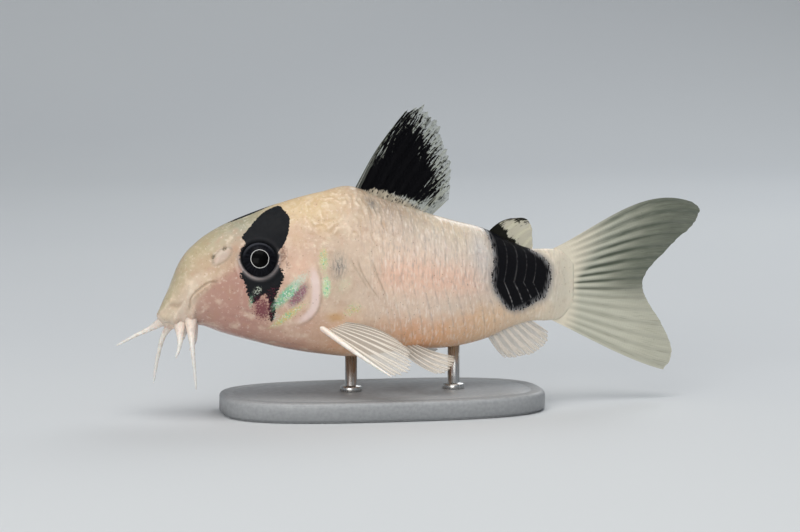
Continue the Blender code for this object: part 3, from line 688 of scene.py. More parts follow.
# %% Relief of the head
COVER_EDGE = (
    (13.0, 7.0), (14.2, 7.4), (14.9, 8.6), (15.25, 10.0), (15.3, 11.4), (15.1, 12.8), (14.3, 13.7),
    (13.1, 14.0), (11.5, 13.7),
)
edge_away, edge_share = from_line(COVER_EDGE)
edge_side = np.where(inside(COVER_EDGE) > 0, edge_away, -edge_away)
edge_fade = smooth(edge_share, 0.12, 0.40) * (1 - smooth(edge_share, 0.75, 1.0))
swell = smooth(edge_side, -0.10, 0.14) * np.exp(-np.maximum(edge_side, 0) / 1.4)
relief += 0.12 * swell * edge_fade
seam = np.exp(-(((edge_side + 0.12) / 0.13) ** 2)) * edge_fade
relief -= 0.06 * seam

CHEEK_CREASE = (
    (5.3, 6.3), (4.7, 5.8), (4.0, 5.35), (3.5, 5.2), (3.1, 5.1), (2.7, 4.95), (2.4, 5.0), (2.35, 5.5),
    (2.4, 6.2),
)
cheek_line = fold(CHEEK_CREASE, 0.09, 1.0, 0.12)
relief -= 0.12 * cheek_line
relief += fold([(x + 0.15, y + 0.32) for x, y in CHEEK_CREASE], 0.26, 0.08, 0.30)
THROAT_FOLDS = (
    ((5.0, 9.2), (7.4, 11.3), (10.0, 13.4), (12.6, 15.0)),
    ((6.2, 9.4), (8.6, 11.3), (10.6, 13.0)),
    ((9.5, 14.9), (12.2, 16.4), (14.6, 17.2)),
)
for path in THROAT_FOLDS:
    relief += fold(path, 0.22, -0.06)

NOSTRIL = ((4.75, 3.3), (5.95, 3.25))
relief += 0.10 * spot(5.6, 3.7, 0.75, 0.45)
for x, y in NOSTRIL:
    relief -= 0.22 * np.exp(-((np.hypot((along_fish - x) / 0.8, down - y) / 0.19) ** 4))

LIP_COLUMNS = (((1.0, 2.6), (1.05, 4.2), (1.2, 5.6)), ((2.55, 5.9), (2.6, 7.2), (2.75, 9.2)))
for path in LIP_COLUMNS:
    relief += fold(path, 0.34, 0.30, 0.45)
    relief -= fold([(x - 0.55, y) for x, y in path], 0.14, 0.10, 0.45)
lip_fold = fold(((0.25, 0.7), (0.7, 1.5), (1.2, 2.8), (1.75, 3.9)), 0.10, 1.0)
relief -= 0.14 * lip_fold

rough = np.zeros_like(relief)
for k in range(90):
    x, y = rng.uniform(1.0, 15.0), rng.uniform(0.3, 9.0)
    rough += rng.uniform(-1, 1) * spot(
        x, y, rng.uniform(0.3, 0.9), rng.uniform(0.2, 0.5), rng.uniform(0, 180)
    )
relief += 0.02 * rough * smooth(ring, 0.8, 2.5) * (1 - smooth(ring, 15.0, 18.0))

MOUTH_CORNER, MOUTH_HEIGHT = 2.7, 9.7
# Each lip line: its height at the middle, its width and its rise.
LIPS = ((10.2, 0.40, 0.14), (9.2, 0.28, 0.14), (9.6, 0.12, -0.22))
near_left = bare * np.where(bare[..., 1:2] > 0, (1.0, -1.0, 1.0), 1.0)
snout = ring < 5.0


def round_mouth(height):
    """A path on the left skin from the corner of the mouth to the middle of the snout."""
    path = []
    for share in np.linspace(1.0, 0.0, 24):
        x = max(MOUTH_CORNER * share**1.8, 0.03)
        z = MOUTH_HEIGHT + (height - MOUTH_HEIGHT) * (1 - share**3)
        z = min(max(z, along(BELLY, x) + 0.05), along(BACK, x) - 0.05)
        path.append(surface(x, angle_at(x, z)))
    return np.array(path)


for height, width, rise in LIPS:
    path = round_mouth(height)
    away = np.full(relief.shape, 99.0)
    for point in path:
        away = np.minimum(away, np.where(snout, np.linalg.norm(near_left - point, axis=2), 99.0))
    relief += rise * np.exp(-((away / width) ** 2))
print("the head's deepest fold", round(float(relief.min()), 2), "mm")

# %% [markdown]
# ## Sockets for the eyes
# The eye sits in a pit of skin with a soft raised lid all round. The skin dives under
# the ball, so that the ball touches it all the way and no gap can be seen.

# %% Eye sockets
EYE_STATION, EYE_HEIGHT = 9.22, 15.87
EYE_RADIUS, EYE_DEPTH, EYE_SUNK = 1.85, 1.3, 0.7
LID_RADIUS = 2.04
eye_angle = angle_at(EYE_STATION, EYE_HEIGHT)
eye_out = outward(EYE_STATION, eye_angle)
eye_spot = surface(EYE_STATION, eye_angle)
eye_forward = np.array((-1.0, 0.0, 0.0)) + eye_out * eye_out[0]
eye_forward /= np.linalg.norm(eye_forward)
eye_up = np.cross(eye_out, eye_forward)
eye_up *= np.sign(eye_up[2])

offset = near_left - eye_spot
from_eye = np.linalg.norm(offset - (offset @ eye_out)[..., None] * eye_out, axis=2)
from_eye = np.where(ring < 14, from_eye, 99.0)
ahead, above = offset @ eye_forward, offset @ eye_up
lower_lid = smooth(-above, -0.8, 1.6)
lidded = from_eye + 0.22 * lower_lid
relief = np.where(lidded < LID_RADIUS, relief * smooth(lidded, 1.5, LID_RADIUS), relief)
relief -= 1.30 * (1 - smooth(lidded, 1.35, 1.80))
relief -= 0.28 * (1 - smooth(lidded, 1.70, 2.05))
relief += (0.10 + 0.10 * lower_lid) * np.exp(-(((lidded - LID_RADIUS - 0.08) / 0.20) ** 2))
front_lid = smooth(0.75 * ahead - 0.65 * above, 0.5, 1.8)
rear_lid = smooth(-0.85 * ahead - 0.5 * above, 0.9, 1.9)
relief -= 0.05 * np.exp(-(((from_eye - 2.62) / 0.16) ** 2)) * lower_lid
print("eye in the pose at", np.round(posed(eye_spot), 4))

# %% [markdown]
# ## Markings
# The pattern is what names this fish: a black band over the eye, a black saddle before
# the tail, and patches of green and violet gloss on the gill cover. Each is an outline
# or a soft spot on the skin's two numbers, stored as a value that the finish reads. The
# far side gets the same pattern, but there the eye band reaches over the crest. A few
# values are painted light instead: highlights on the lower lid, painted shade in the
# creases and the nostrils, and partly painted shade in the hollow above the pectoral fin.

# %% Markings
UPPER_PATCH = (
    (7.75, 2.95), (8.5, 2.4), (9.3, 1.75), (10.4, 0.95), (11.3, 0.7), (12.0, 0.75), (12.3, 1.7),
    (12.65, 2.9), (12.45, 4.1), (12.05, 5.0), (11.55, 5.7), (10.6, 6.2), (8.8, 6.2), (7.9, 4.6),
    (8.0, 3.6),
)
LOWER_PATCH = (
    (7.4, 6.3), (7.6, 7.6), (7.95, 8.9), (8.2, 9.7), (8.7, 9.9), (9.5, 9.6), (9.95, 10.4), (10.0, 11.6),
    (10.1, 12.4), (10.5, 12.4), (10.65, 11.2), (10.8, 10.1), (11.2, 9.3), (11.55, 8.7), (11.4, 8.0),
    (10.6, 6.8),
)
TAIL_PATCH = (
    (32.9, -1.0), (33.1, 1.0), (33.4, 3.0), (33.4, 4.6), (33.2, 5.8), (33.3, 7.0), (33.8, 7.9),
    (34.6, 8.8), (35.4, 9.1), (36.5, 8.5), (37.8, 7.2), (38.8, 5.9), (39.5, 4.5), (39.8, 2.9),
    (39.6, 1.9), (38.9, 1.1), (37.9, 0.4), (37.3, -1.0),
)
FAR_PATCH = (
    (6.4, 0.9), (7.6, 0.2), (9.3, -0.8), (11.3, -0.5), (12.0, 0.7), (12.3, 1.7), (12.4, 2.9),
    (12.1, 4.1), (11.7, 5.2), (10.6, 6.2), (8.8, 6.2), (7.6, 4.8), (7.0, 3.2), (6.4, 1.4),
)
FAR_LINE = ((6.8, 0.08), (7.7, 0.20), (8.9, 0.22), (10.1, 0.14), (11.2, 0.0))
near_side = bare[..., 1] <= 0
over_crest, share_over = from_line(FAR_LINE)
over_crest = 0.03 + 0.22 * np.sin(np.clip(share_over, 0, 1) * math.pi) - over_crest
upper_black = np.where(near_side, np.maximum(inside(UPPER_PATCH), over_crest), inside(FAR_PATCH))
upper_black *= 2.5
eye_black = np.maximum(upper_black, inside(LOWER_PATCH))
eye_black = np.maximum(eye_black, 1.5 * (2.06 - lidded))
below_crease = smooth(down, 5.0, 6.6) * smooth(along_fish, 2.0, 3.4)
line_here = smooth(ring, 20, 23) * (1 - smooth(ring, 30.5, 34))
skin_values = {
    "eye_black": eye_black,
    "tail_black": inside(TAIL_PATCH),
    # Painted highlights on the lid round the eye, strongest on the lower lid.
    "lid_rim_highlight": np.exp(-(((lidded - LID_RADIUS - 0.1) / 0.20) ** 2)) * (0.1 + 0.9 * lower_lid),
    "lid_pale_highlight": np.exp(-(((lidded - LID_RADIUS - 0.08) / 0.15) ** 2)) * (front_lid + 0.5 * rear_lid),
    "mint": 1.3 * spot(11.85, 10.4, 1.5, 0.58, -32) + 0.45 * spot(8.2, 9.7, 0.3, 0.8),
    "frost": spot(13.1, 9.5, 0.9, 0.45, -25) + 0.6 * spot(8.8, 8.9, 0.4, 0.35)
    + 0.6 * spot(10.75, 12.2, 0.3, 0.4),
    "violet": 1.3 * spot(12.95, 10.95, 1.2, 0.72, -43),
    "rust": spot(11.55, 6.2, 0.40, 0.9) + 0.5 * spot(12.0, 7.6, 0.25, 0.7),
    "magenta": 1.3 * spot(9.35, 10.85, 1.2, 0.68, 62) + 0.3 * spot(10.4, 9.6, 0.6, 0.5),
    "gold": spot(11.9, 12.6, 1.7, 0.45, -20) + 0.75 * spot(15.65, 8.2, 0.5, 1.2)
    + 0.6 * spot(18.6, 13.9, 1.0, 0.6),
    "stripe": 1.3 * spot(15.85, 11.0, 0.38, 0.9) + 0.5 * spot(15.7, 8.5, 0.5, 1.1)
    + 0.3 * spot(17.6, 11.2, 1.3, 1.2),
    "dashes": spot(17.2, 9.3, 0.75, 1.0) + 0.8 * spot(21.3, 2.4, 0.6, 0.9),
    "pink": edge_fade * np.exp(-(((edge_side - 0.55) / 0.50) ** 2)),
    # Orange tone in the hollow above the pectoral fin, partly painted shade there.
    "axil": spot(16.8, 14.2, 1.3, 0.55, 18),
    # Painted shade in the gill seam, the cheek crease, the shoulder creases and the lip fold.
    "crease_shade": np.clip(0.20 * seam + 0.9 * cheek_line + 0.6 * creases + 0.5 * lip_fold, 0, 1),
    "wrinkle": wrinkle,
    "blush": line_here * np.exp(-(((lateral - 0.3) / 1.5) ** 2)) + 0.5 * spot(13.3, 8.2, 1.4, 1.0),
    "pearl": spot(32.2, 3.9, 1.1, 3.0) + 0.4 * spot(27.5, 4.0, 5.0, 2.4),
    "cheek": below_crease * (1 - smooth(along_fish, 7.5, 11.0)),
    "plate_edge": on_plates * belly_edge * back_edge * shoulder * smooth(phase, 0.74, 0.93),
    "nostril": np.exp(-((np.hypot((along_fish - 5.6) / 1.5, down - 3.75) / 0.68) ** 4)),
    "lips": np.exp(-(((along_fish - 1.2) / 1.6) ** 2)) * smooth(down, 2.0, 5.0) * (along_fish < 5),
    # Painted shade in the two nostril openings and round the rim of the nostril flap.
    "pit": sum(np.exp(-((np.hypot(along_fish - x, down - y) / 0.19) ** 4)) for x, y in NOSTRIL)
    + 0.5 * np.exp(-(((np.hypot((along_fish - 5.65) / 0.95, (down - 3.8) / 0.68) - 1) / 0.14) ** 2)),
}
print("markings:", sorted(skin_values))

# %% [markdown]
# ## Skin finish
# Colour runs along the fish in three bands: golden on the back, cream and pink on the
# flank, peach on the belly. Each band is a colour ramp over the station, and the distance
# down from the back blends them. Masks lay the markings over that, and some painted light
# as well: highlights on the crests of the nape's folds and on the lower lid, and shade in
# the folds' valleys, the creases and the nostrils. Light enters a little way into the
# flesh, and a thin wet coat lies on top.

# %% Skin finish
BACK_TONES = (
    (0, (0.54, 0.46, 0.30)), (4, (0.46, 0.39, 0.25)), (8, (0.34, 0.325, 0.235)), (10, (0.38, 0.34, 0.23)),
    (12.5, (0.64, 0.48, 0.28)), (16, (0.66, 0.49, 0.29)), (19, (0.60, 0.46, 0.32)),
    (23, (0.45, 0.34, 0.25)), (28, (0.62, 0.50, 0.35)), (33, (0.66, 0.54, 0.40)),
    (39, (0.70, 0.62, 0.49)), (42, (0.74, 0.68, 0.55)),
)
FLANK_TONES = (
    (0, (0.60, 0.50, 0.38)), (4, (0.54, 0.40, 0.27)), (8, (0.52, 0.35, 0.26)),
    (13, (0.66, 0.47, 0.36)), (17, (0.63, 0.49, 0.375)), (26, (0.76, 0.60, 0.48)),
    (33, (0.66, 0.56, 0.46)), (42, (0.74, 0.68, 0.55)),
)
BELLY_TONES = (
    (0, (0.66, 0.56, 0.47)), (6, (0.52, 0.33, 0.26)), (13, (0.52, 0.31, 0.24)),
    (18, (0.72, 0.44, 0.28)), (26, (0.78, 0.41, 0.22)), (33, (0.80, 0.54, 0.34)),
    (38, (0.76, 0.62, 0.46)), (42, (0.74, 0.68, 0.55)),
)
BACK_FADE, BELLY_FADE = (0.10, 0.34), (0.58, 0.84)
BLACK_TONE = (0.0035, 0.0035, 0.005)


def band(station, tones):
    """A colour ramp over the station."""
    return ramp(station, [(at / SKIN_LENGTH, colour) for at, colour in tones])


skin_finish, tree, shader = new_material("wet_skin")
place = place_in_mm(tree)
flow = painted(tree, "flow", vector=True)
parts = parts_of(flow)
station = maths("DIVIDE", parts[0], SKIN_LENGTH)
depth = parts[2] + (noise(place, 0.35, 3.0) - 0.5) * 0.3
to_flank, to_belly = stretch(depth, *BACK_FADE), stretch(depth, *BELLY_FADE)
colour = mix(to_flank, band(station, BACK_TONES), band(station, FLANK_TONES))
colour = mix(to_belly, colour, band(station, BELLY_TONES))
WASHES = (
    ("cheek", (0.45, 0.245, 0.205), 0.80),
    ("blush", (0.86, 0.52, 0.38), 0.60),
    ("pearl", (0.60, 0.57, 0.54), 0.75),
    ("lips", (0.66, 0.56, 0.47), 0.75),
)
for name, tone, strength in WASHES:
    colour = mix(painted(tree, name) * strength, colour, tone)

cloud = noise(place, 0.9, 4.0)
fine_cloud = noise(place, 3.2, 3.0)
streaks = noise(scaled(flow, (5.0, 1.0, 0.0)), 1.0, 3.0, 0.25)
edges = painted(tree, "plate_edge")
edge_dashes = stretch(noise(scaled(flow, (1.0, 1.4, 0.0)), 1.0, 2.0), 0.42, 0.6)
on_flank = stretch(parts[0], 18.0, 23.0) * stretch(parts[0], 42.3, 39.6)
on_head = stretch(parts[0], 30.0, 12.0, 0.12, 0.40)
on_upper = stretch(depth, 0.62, 0.42) * 0.85 + 0.10
wrinkle = painted(tree, "wrinkle")
folds = wrinkle + (fine_cloud - 0.5) * 1.4
# Painted highlight on the crests of the nape's skin folds, and painted shade in their valleys.
crest = stretch(folds, 0.25, 0.95, 0.0, 0.40) * stretch(wrinkle, 0.0, 0.2)
valley = stretch(folds, -0.25, -0.95, 0.0, 0.38) * stretch(wrinkle, 0.0, -0.2)
MOTTLES_AND_FOLD_LIGHT = (
    (stretch(cloud, 0.50, 0.72) * on_head, (0.84, 0.70, 0.54)),
    (stretch(cloud, 0.48, 0.28) * on_head, (0.48, 0.29, 0.20)),
    (stretch(fine_cloud, 0.55, 0.75, 0.0, 0.35), (0.86, 0.76, 0.64)),
    (stretch(fine_cloud, 0.42, 0.25, 0.0, 0.30), (0.40, 0.28, 0.20)),
    (stretch(streaks, 0.5, 0.70, 0.0, 0.42) * on_flank, (0.95, 0.87, 0.80)),
    (stretch(streaks, 0.47, 0.34, 0.0, 0.42) * on_flank * on_upper, (0.42, 0.37, 0.35)),
    (edges * edge_dashes * 0.30, (0.44, 0.36, 0.33)),
    # The last two: painted highlight on the fold crests and painted shade in the fold valleys.
    (crest, (0.92, 0.78, 0.62)),
    (valley, (0.56, 0.38, 0.23)),
)
for mask, tone in MOTTLES_AND_FOLD_LIGHT:
    colour = mix(mask, colour, tone)

# Each tint: its mask, tone, strength, noise scale, raggedness, and the glow below the specks.
WHOLE_TINTS = (
    ("pink", (0.86, 0.71, 0.69), 0.60, 2.0, 0.4, 0.62),
    # Orange tone and painted shade in the hollow above the pectoral fin.
    ("axil", (0.56, 0.33, 0.15), 0.75, 2.0, 0.3, 0.5),
    ("rust", (0.24, 0.14, 0.10), 0.75, 4.5, 0.9, 0.25),
    ("violet", (0.24, 0.09, 0.14), 0.85, 8.0, 0.5, 0.75),
    ("black", (0.009, 0.010, 0.012), 1.0, 0.0, 0.0, 0.0),
    ("magenta", (0.14, 0.020, 0.042), 0.85, 6.0, 1.5, 0.45),
    ("gold", (0.60, 0.52, 0.17), 0.80, 8.0, 0.8, 0.45),
    ("mint", (0.19, 0.43, 0.27), 0.90, 8.0, 0.6, 0.75),
    ("frost", (0.60, 0.66, 0.56), 0.70, 8.0, 1.8, 0.10),
    ("stripe", (0.56, 0.72, 0.42), 0.84, 8.0, 0.6, 0.65),
)
SPARKLES = {"mint": 0.75, "stripe": 0.75, "gold": 0.75, "violet": 0.25}
fleck = use_group(tree, flecks, Place=place, Scale=8.0)
black = use_group(
    tree, ragged, Inside=painted(tree, "eye_black"), Place=place, Grain=4.5, Reach=0.24
)["Mask"]
sparkle = 0.0
for name, tone, strength, scale, raggedness, glow in WHOLE_TINTS:
    if name == "black":
        colour = mix(black, colour, tone)
        continue
    value = painted(tree, name)
    level = value + (noise(place, scale, 3.0, 0.4) - 0.5) * (3.0 * raggedness)
    specks = stretch(level, 0.30, 0.90, 0.0, strength) * stretch(value, 0.03, 0.25)
    mask = larger(specks, stretch(value, 0.10, 0.90, 0.0, glow))
    colour = mix(mask, colour, tone)
    if name in SPARKLES:
        bright = fleck["Mask"] * mask * SPARKLES[name]
        colour = mix(bright, colour, fleck["Colour"])
        sparkle = maths("ADD", sparkle, bright, clamp=True)

short_dashes = stretch(noise(scaled(flow, (5.5, 1.6, 0.0)), 1.0, 2.0), 0.46, 0.54)
DETAILS = (
    ("dashes", 0.45, (0.32, 0.33, 0.31)),
    ("dashes", short_dashes * 0.70, (0.16, 0.16, 0.16)),
    # Painted shade in the creases and seams.
    ("crease_shade", 0.62, (0.27, 0.17, 0.11)),
    ("nostril", 0.6, (0.64, 0.54, 0.48)),
    # Painted shade in the nostril openings and round the flap.
    ("pit", stretch(fine_cloud, 0.35, 0.55, 0.35, 0.9), (0.20, 0.17, 0.12)),
)
for name, strength, tone in DETAILS:
    colour = mix(painted(tree, name) * strength, colour, tone)

saddle = use_group(
    tree, ragged, Inside=painted(tree, "tail_black"), Place=place, Grain=7.0, Reach=0.22
)["Mask"]
in_saddle = painted(tree, "tail_black")
broken = stretch(noise(place, 2.4, 3.0), 0.30, 0.62) * stretch(depth, 0.40, 0.62, 0.13, 0.62)
mottle = stretch(noise(scaled(flow, (5.0, 1.3, 0.0)), 1.0, 3.0), 0.40, 0.60)
rim = stretch(in_saddle, 0.70, -0.10, 0.0, 0.85) * mottle
line = larger(stretch(edges, 0.50, 0.98) * broken, rim)
colour = mix(stretch(in_saddle, -0.75, 0.1, 0.0, 0.62), colour, (0.24, 0.23, 0.23))
colour = mix(saddle, colour, mix(line, BLACK_TONE, (0.34, 0.33, 0.33)))
# Painted highlights on the lower lid: a dark grey rim over the black, and a pale grey band.
colour = mix(painted(tree, "lid_rim_highlight") * 0.5, colour, (0.12, 0.11, 0.12))
colour = mix(painted(tree, "lid_pale_highlight") * 0.7, colour, (0.36, 0.32, 0.31))

spots = use_group(tree, dots, Place=place, Scale=3.4, Size=0.20, Share=0.22)["Mask"]
few = use_group(tree, dots, Place=place, Scale=1.2, Size=0.10, Share=0.35)["Mask"]
peppered = maths("ADD", spots, few, clamp=True) * 0.45
colour = mix(peppered, colour, (0.30, 0.22, 0.18), "MULTIPLY")
wire(colour, shader.inputs["Base Color"])

surface_grain = use_group(tree, grain, Place=place, Scale=2.6, Gloss=0.36)
wire(bump(surface_grain["Height"] * 0.6 + streaks * 0.5, 0.55, 0.05), shader.inputs["Normal"])
dark = larger(black, saddle * (1.0 - line))
rough_value = surface_grain["Roughness"] - sparkle * 0.2
rough_value = maths("ADD", rough_value, dark * 0.25, clamp=True)
wire(rough_value, shader.inputs["Roughness"])
wire(sparkle * 0.35, shader.inputs["Metallic"])
wire(stretch(dark, 0.0, 1.0, 0.60, 0.02), shader.inputs["Coat Weight"])
set_constants(shader, Specular_IOR_Level=0.10, Subsurface_Weight=0.16)
set_constants(shader, Subsurface_Radius=(1.0, 0.45, 0.30), Subsurface_Scale=0.6 * MM)
set_constants(shader, Coat_Roughness=0.16, Coat_IOR=1.4)
print("skin finish:", len(tree.nodes), "nodes")

# %% [markdown]
# ## The skin itself
# The grid of rings becomes quads, with a fan at the tip of the snout and one in the
# blade where the tail fin grows out. Every point carries its masks.

# %% Skin piece
faces, places = grid_faces(len(stations), len(angles), True)
shaped = bare + out * relief[..., None]
tip = surface(0.0, 0.0)
blade = shaped[-1].mean(axis=0)
points = np.concatenate([shaped.reshape(-1, 3), [tip, blade]])
count = len(angles)
first = len(points) - 2
last_ring = (len(stations) - 1) * count
k = np.arange(count)
nose = np.stack([np.full(count, first), (k + 1) % count, k], axis=1)
rear = np.stack([np.full(count, first + 1), last_ring + k, last_ring + (k + 1) % count], axis=1)
corner = np.stack([np.zeros(count), k / count], axis=1)
fan_places = np.stack([corner, corner, corner], axis=1)


def for_tips(value):
    """A value for every point of the skin, with the two middle points last."""
    flat_value = value.reshape(-1, *value.shape[2:])
    return np.concatenate([flat_value, flat_value[:1], flat_value[-1:]])


skin_values["flow"] = np.stack([along_fish, down, share_down], axis=-1)
mesh_faces = faces.tolist() + nose.tolist() + rear.tolist()
all_places = np.concatenate(
    [places.reshape(-1, 2), fan_places.reshape(-1, 2), fan_places.reshape(-1, 2) + (1, 0)]
)
all_faces = np.empty(len(mesh_faces), object)
all_faces[:] = mesh_faces
new_piece(
    "skin",
    posed(points),
    all_faces,
    skin_finish,
    ("head", "gill_cover_left", "gill_cover_right", "torso", "tail"),
    {label: for_tips(value) for label, value in skin_values.items()},
    all_places,
)

# %% [markdown]
# ## Eyes
# The eye is nearly all black: a wide pupil in a dark blue-grey iris, with one thin bright
# ring between them. A smooth ball carries the distance from its middle, and the finish
# draws pupil, ring and iris from it under a clear coat, which is the cornea's shine.

# %% Eyes
PUPIL_RADIUS, RING_WIDTH = 0.89, 0.038
EYE_TURNS, EYE_BANDS = 96, 48

eye_finish, tree, shader = new_material("polished_eye")
place = place_in_mm(tree)
radius = painted(tree, "radius")
wobble = (noise(place, 2.0) - 0.5) * 0.05
shifted = radius + wobble
turned_round = painted(tree, "polar", vector=True)
fibres = noise(scaled(turned_round, (14.0, 1.2, 14.0)), 1.0, 3.0)
iris = ramp(fibres, [(0.35, (0.002, 0.002, 0.003)), (0.75, (0.012, 0.013, 0.018))])
# Painted reflection: a faint pale crescent over the upper iris, where the cornea would mirror the room.
above = stretch(parts_of(turned_round)[2], 0.1, 1.0)
band_of_light = stretch(shifted, 1.42, 1.65) * stretch(shifted, 1.85, 1.72)
light = band_of_light * (above * 0.45 + 0.05)
iris = mix(light, iris, (0.10, 0.105, 0.125))
EDGE = 0.016
outer = stretch(shifted, PUPIL_RADIUS + RING_WIDTH + EDGE, PUPIL_RADIUS + RING_WIDTH)
inner = stretch(shifted, PUPIL_RADIUS - EDGE, PUPIL_RADIUS)
ring_mask = outer * inner
colour = mix(stretch(shifted, PUPIL_RADIUS, PUPIL_RADIUS + 0.04), (0.001, 0.001, 0.001), iris)
colour = mix(ring_mask, colour, (0.62, 0.62, 0.60))
wire(colour, shader.inputs["Base Color"])
wire(stretch(fibres, 0.3, 0.7, 0.35, 0.5), shader.inputs["Roughness"])
set_constants(shader, Specular_IOR_Level=0.03, Coat_Weight=0.08, Coat_Roughness=0.04, Coat_IOR=1.3)

polar = np.linspace(0.0, math.pi, EYE_BANDS + 1)[:, None]
swing = np.linspace(0.0, 2 * math.pi, EYE_TURNS, endpoint=False)[None, :]
bulge = 0.06 * np.exp(-((np.sin(polar) / 0.55) ** 2)) * (polar < math.pi / 2)
ball = (
    eye_forward * (EYE_RADIUS * np.sin(polar) * np.cos(swing))[..., None]
    + eye_up * (EYE_RADIUS * np.sin(polar) * np.sin(swing))[..., None]
    + eye_out * ((EYE_DEPTH * np.cos(polar) + bulge) * np.ones_like(swing))[..., None]
)
ball += eye_spot - eye_out * EYE_SUNK
eye_radius = EYE_RADIUS * np.sin(polar) * np.ones_like(swing)
eye_polar = np.stack(
    [np.cos(swing) * np.ones_like(polar), eye_radius, np.sin(swing) * np.ones_like(polar)], -1
)
for side, sign in (("left", 1.0), ("right", -1.0)):
    faces, places = grid_faces(EYE_BANDS + 1, EYE_TURNS, True)
    if sign > 0:
        faces, places = faces[:, ::-1], places[:, ::-1]
    new_piece(
        f"eyeball_{side}",
        posed(ball * (1.0, sign, 1.0)),
        faces,
        eye_finish,
        (f"eye_{side}",),
        {"radius": eye_radius.ravel(), "polar": eye_polar.reshape(-1, 3)},
        places,
    )

# %% [markdown]
# ## Fins
# A fin is a thin web held open by rays. A ray starts as one rod and splits in two half
# way out. The web and its rays are one closed sheet here: a grid of points from the root
# to the edge, made thicker where a ray runs. The sheet carries how near a ray is and
# where the point lies, so that the finish can make the web clearer than its rays.

# %% Fin builder
FIN_COLUMNS = 12


def fin_sheet(
    root, edge, bow, rays, rows, ray_half, web_half, split, ragged_by, wide=0.2, skew=0.0,
    ray_from=-0.15, seed=1,
):
    """The closed sheet of a fin, with its values; shapes are in millimetres."""
    draw = np.random.default_rng(seed)
    columns = (rays - 1) * FIN_COLUMNS + 1
    across = np.linspace(0.0, rays - 1, columns)
    v = np.linspace(0.0, 1.0, rows + 1)[None, :]
    starts = np.array([spline(root, c / (rays - 1)) for c in across])
    ends = np.array([spline(edge, c / (rays - 1)) for c in across])
    arches = np.array([spline(bow, c / (rays - 1)) for c in across])
    nearest = np.round(across).astype(int)
    off = (across - nearest)[:, None]
    outer_ray = ((nearest == 0) | (nearest == rays - 1))[:, None]
    drift = 0.06 * np.sin(3.0 * v + nearest[:, None] * 2.1) * v
    forks = np.where(outer_ray, 0.0, 0.24 * smooth(v, split, 1.0) * np.ones_like(off))
    gap = np.abs(np.abs(off - drift * (np.abs(off) < 0.45)) - forks)
    ray = np.exp(-((gap / (wide * (1 - 0.45 * v))) ** 2))

    tips = draw.uniform(-1.0, 1.0, rays + 1)[nearest]
    fray = draw.uniform(-1.0, 1.0, columns)
    fray = np.convolve(fray, (0.25, 0.5, 0.25), "same")
    reach = 1 + ragged_by * (0.5 * tips + 0.7 * fray - 0.9 * (1 - ray[:, -1]))
    t = v * reach[:, None]
    lift = 4 * t * (1 - t) * (1 - skew + 2 * skew * t)
    grid = starts[:, None] + (ends - starts)[:, None] * t[..., None] + arches[:, None] * lift[..., None]
    rod_half = ray_half * ray * (1 - 0.75 * v**1.6) * smooth(v, ray_from, ray_from + 0.15)
    half_thick = web_half * (1 - 0.5 * v) + rod_half
    half_thick *= np.where(v > 0.985, 0.5, 1.0)
    normal = np.cross(np.gradient(grid, axis=0), np.gradient(grid, axis=1))
    normal /= np.linalg.norm(normal, axis=2, keepdims=True)
    wave = 0.04 * np.sin(across * math.pi * 2)[:, None] + 0.12 * np.sin(across * 0.9 + 1)[:, None]
    grid = grid + normal * (wave * v)[..., None]
    front, rear = grid + normal * half_thick[..., None], grid - normal * half_thick[..., None]
    length = np.linalg.norm(ends - starts, axis=1)
    middles = (starts + ends) / 2
    width = np.concatenate([[0.0], np.cumsum(np.linalg.norm(np.diff(middles, axis=0), axis=1))])
    lay = np.stack([width[:, None] * np.ones_like(t), t * length[:, None], t], axis=-1)
    order = np.ones_like(t) * (across / (rays - 1))[:, None]
    return front, rear, {"ray": ray * np.ones_like(t), "lay": lay, "plan": grid, "order": order}


def sheet_faces(n, m):
    """Faces of the closed sheet: front, rear and the rim between them."""
    quads, places = grid_faces(n, m, False)
    other = n * m
    border = [i * m for i in range(n)] + [(n - 1) * m + j for j in range(1, m)]
    border += [i * m + m - 1 for i in range(n - 2, -1, -1)] + list(range(m - 2, 0, -1))
    a, b = np.array(border), np.roll(border, -1)
    rim = np.stack([b, a, other + a, other + b], axis=1)
    rim_places = np.full((len(rim), 4, 2), 0.5)
    half_places = places * (0.49, 1.0)
    faces = np.concatenate([quads, other + quads[:, ::-1], rim])
    return faces, np.concatenate([half_places, half_places[:, ::-1] + (0.51, 0.0), rim_places])


def even_opening(share, order):
    """Where the web between the rays shows clear, and where flesh still covers it."""
    return smooth(share, 0.08, 0.25) * (1 - 0.6 * smooth(share, 0.5, 0.9)), 1 - smooth(share, 0.02, 0.12)


def make_fin(name, material, slot, node, black=None, sign=1.0, opening=even_opening, **shape):
    """A fin piece that takes the place of its solid."""
    front, rear, middle = fin_sheet(**shape)
    faces, places = sheet_faces(*middle["ray"].shape)
    flip = np.array((1.0, sign, 1.0))
    plan, share = middle["plan"], middle["lay"][..., 2]
    opened, fleshy = opening(share, middle["order"])
    middle["gap"] = opened * smooth(0.5 - middle["ray"], 0.0, 0.5)
    middle["flesh"] = fleshy
    middle["dark"] = black(plan[..., 0], plan[..., 2], share) if black else np.full(share.shape, -9.0)
    values = {
        label: np.concatenate([middle[label].reshape(share.size, -1).squeeze()] * 2)
        for label in ("ray", "order", "lay", "gap", "flesh", "dark")
    }
    points = np.concatenate([front.reshape(-1, 3), rear.reshape(-1, 3)]) * flip
    if sign < 0:
        faces, places = faces[:, ::-1], places[:, ::-1]
    return new_piece(
        name, posed(points), faces, material, (node,), values, places
    )


print("fin builder ready")

# %% [markdown]
# ## Fin finish
# The web lets light through, and the rays are paler and denser. Fine cross lines show
# where each ray is jointed. Black pigment sits on the rays in dashes, so its noise is
# stretched along them. The same finish, with other tones, serves every fin.


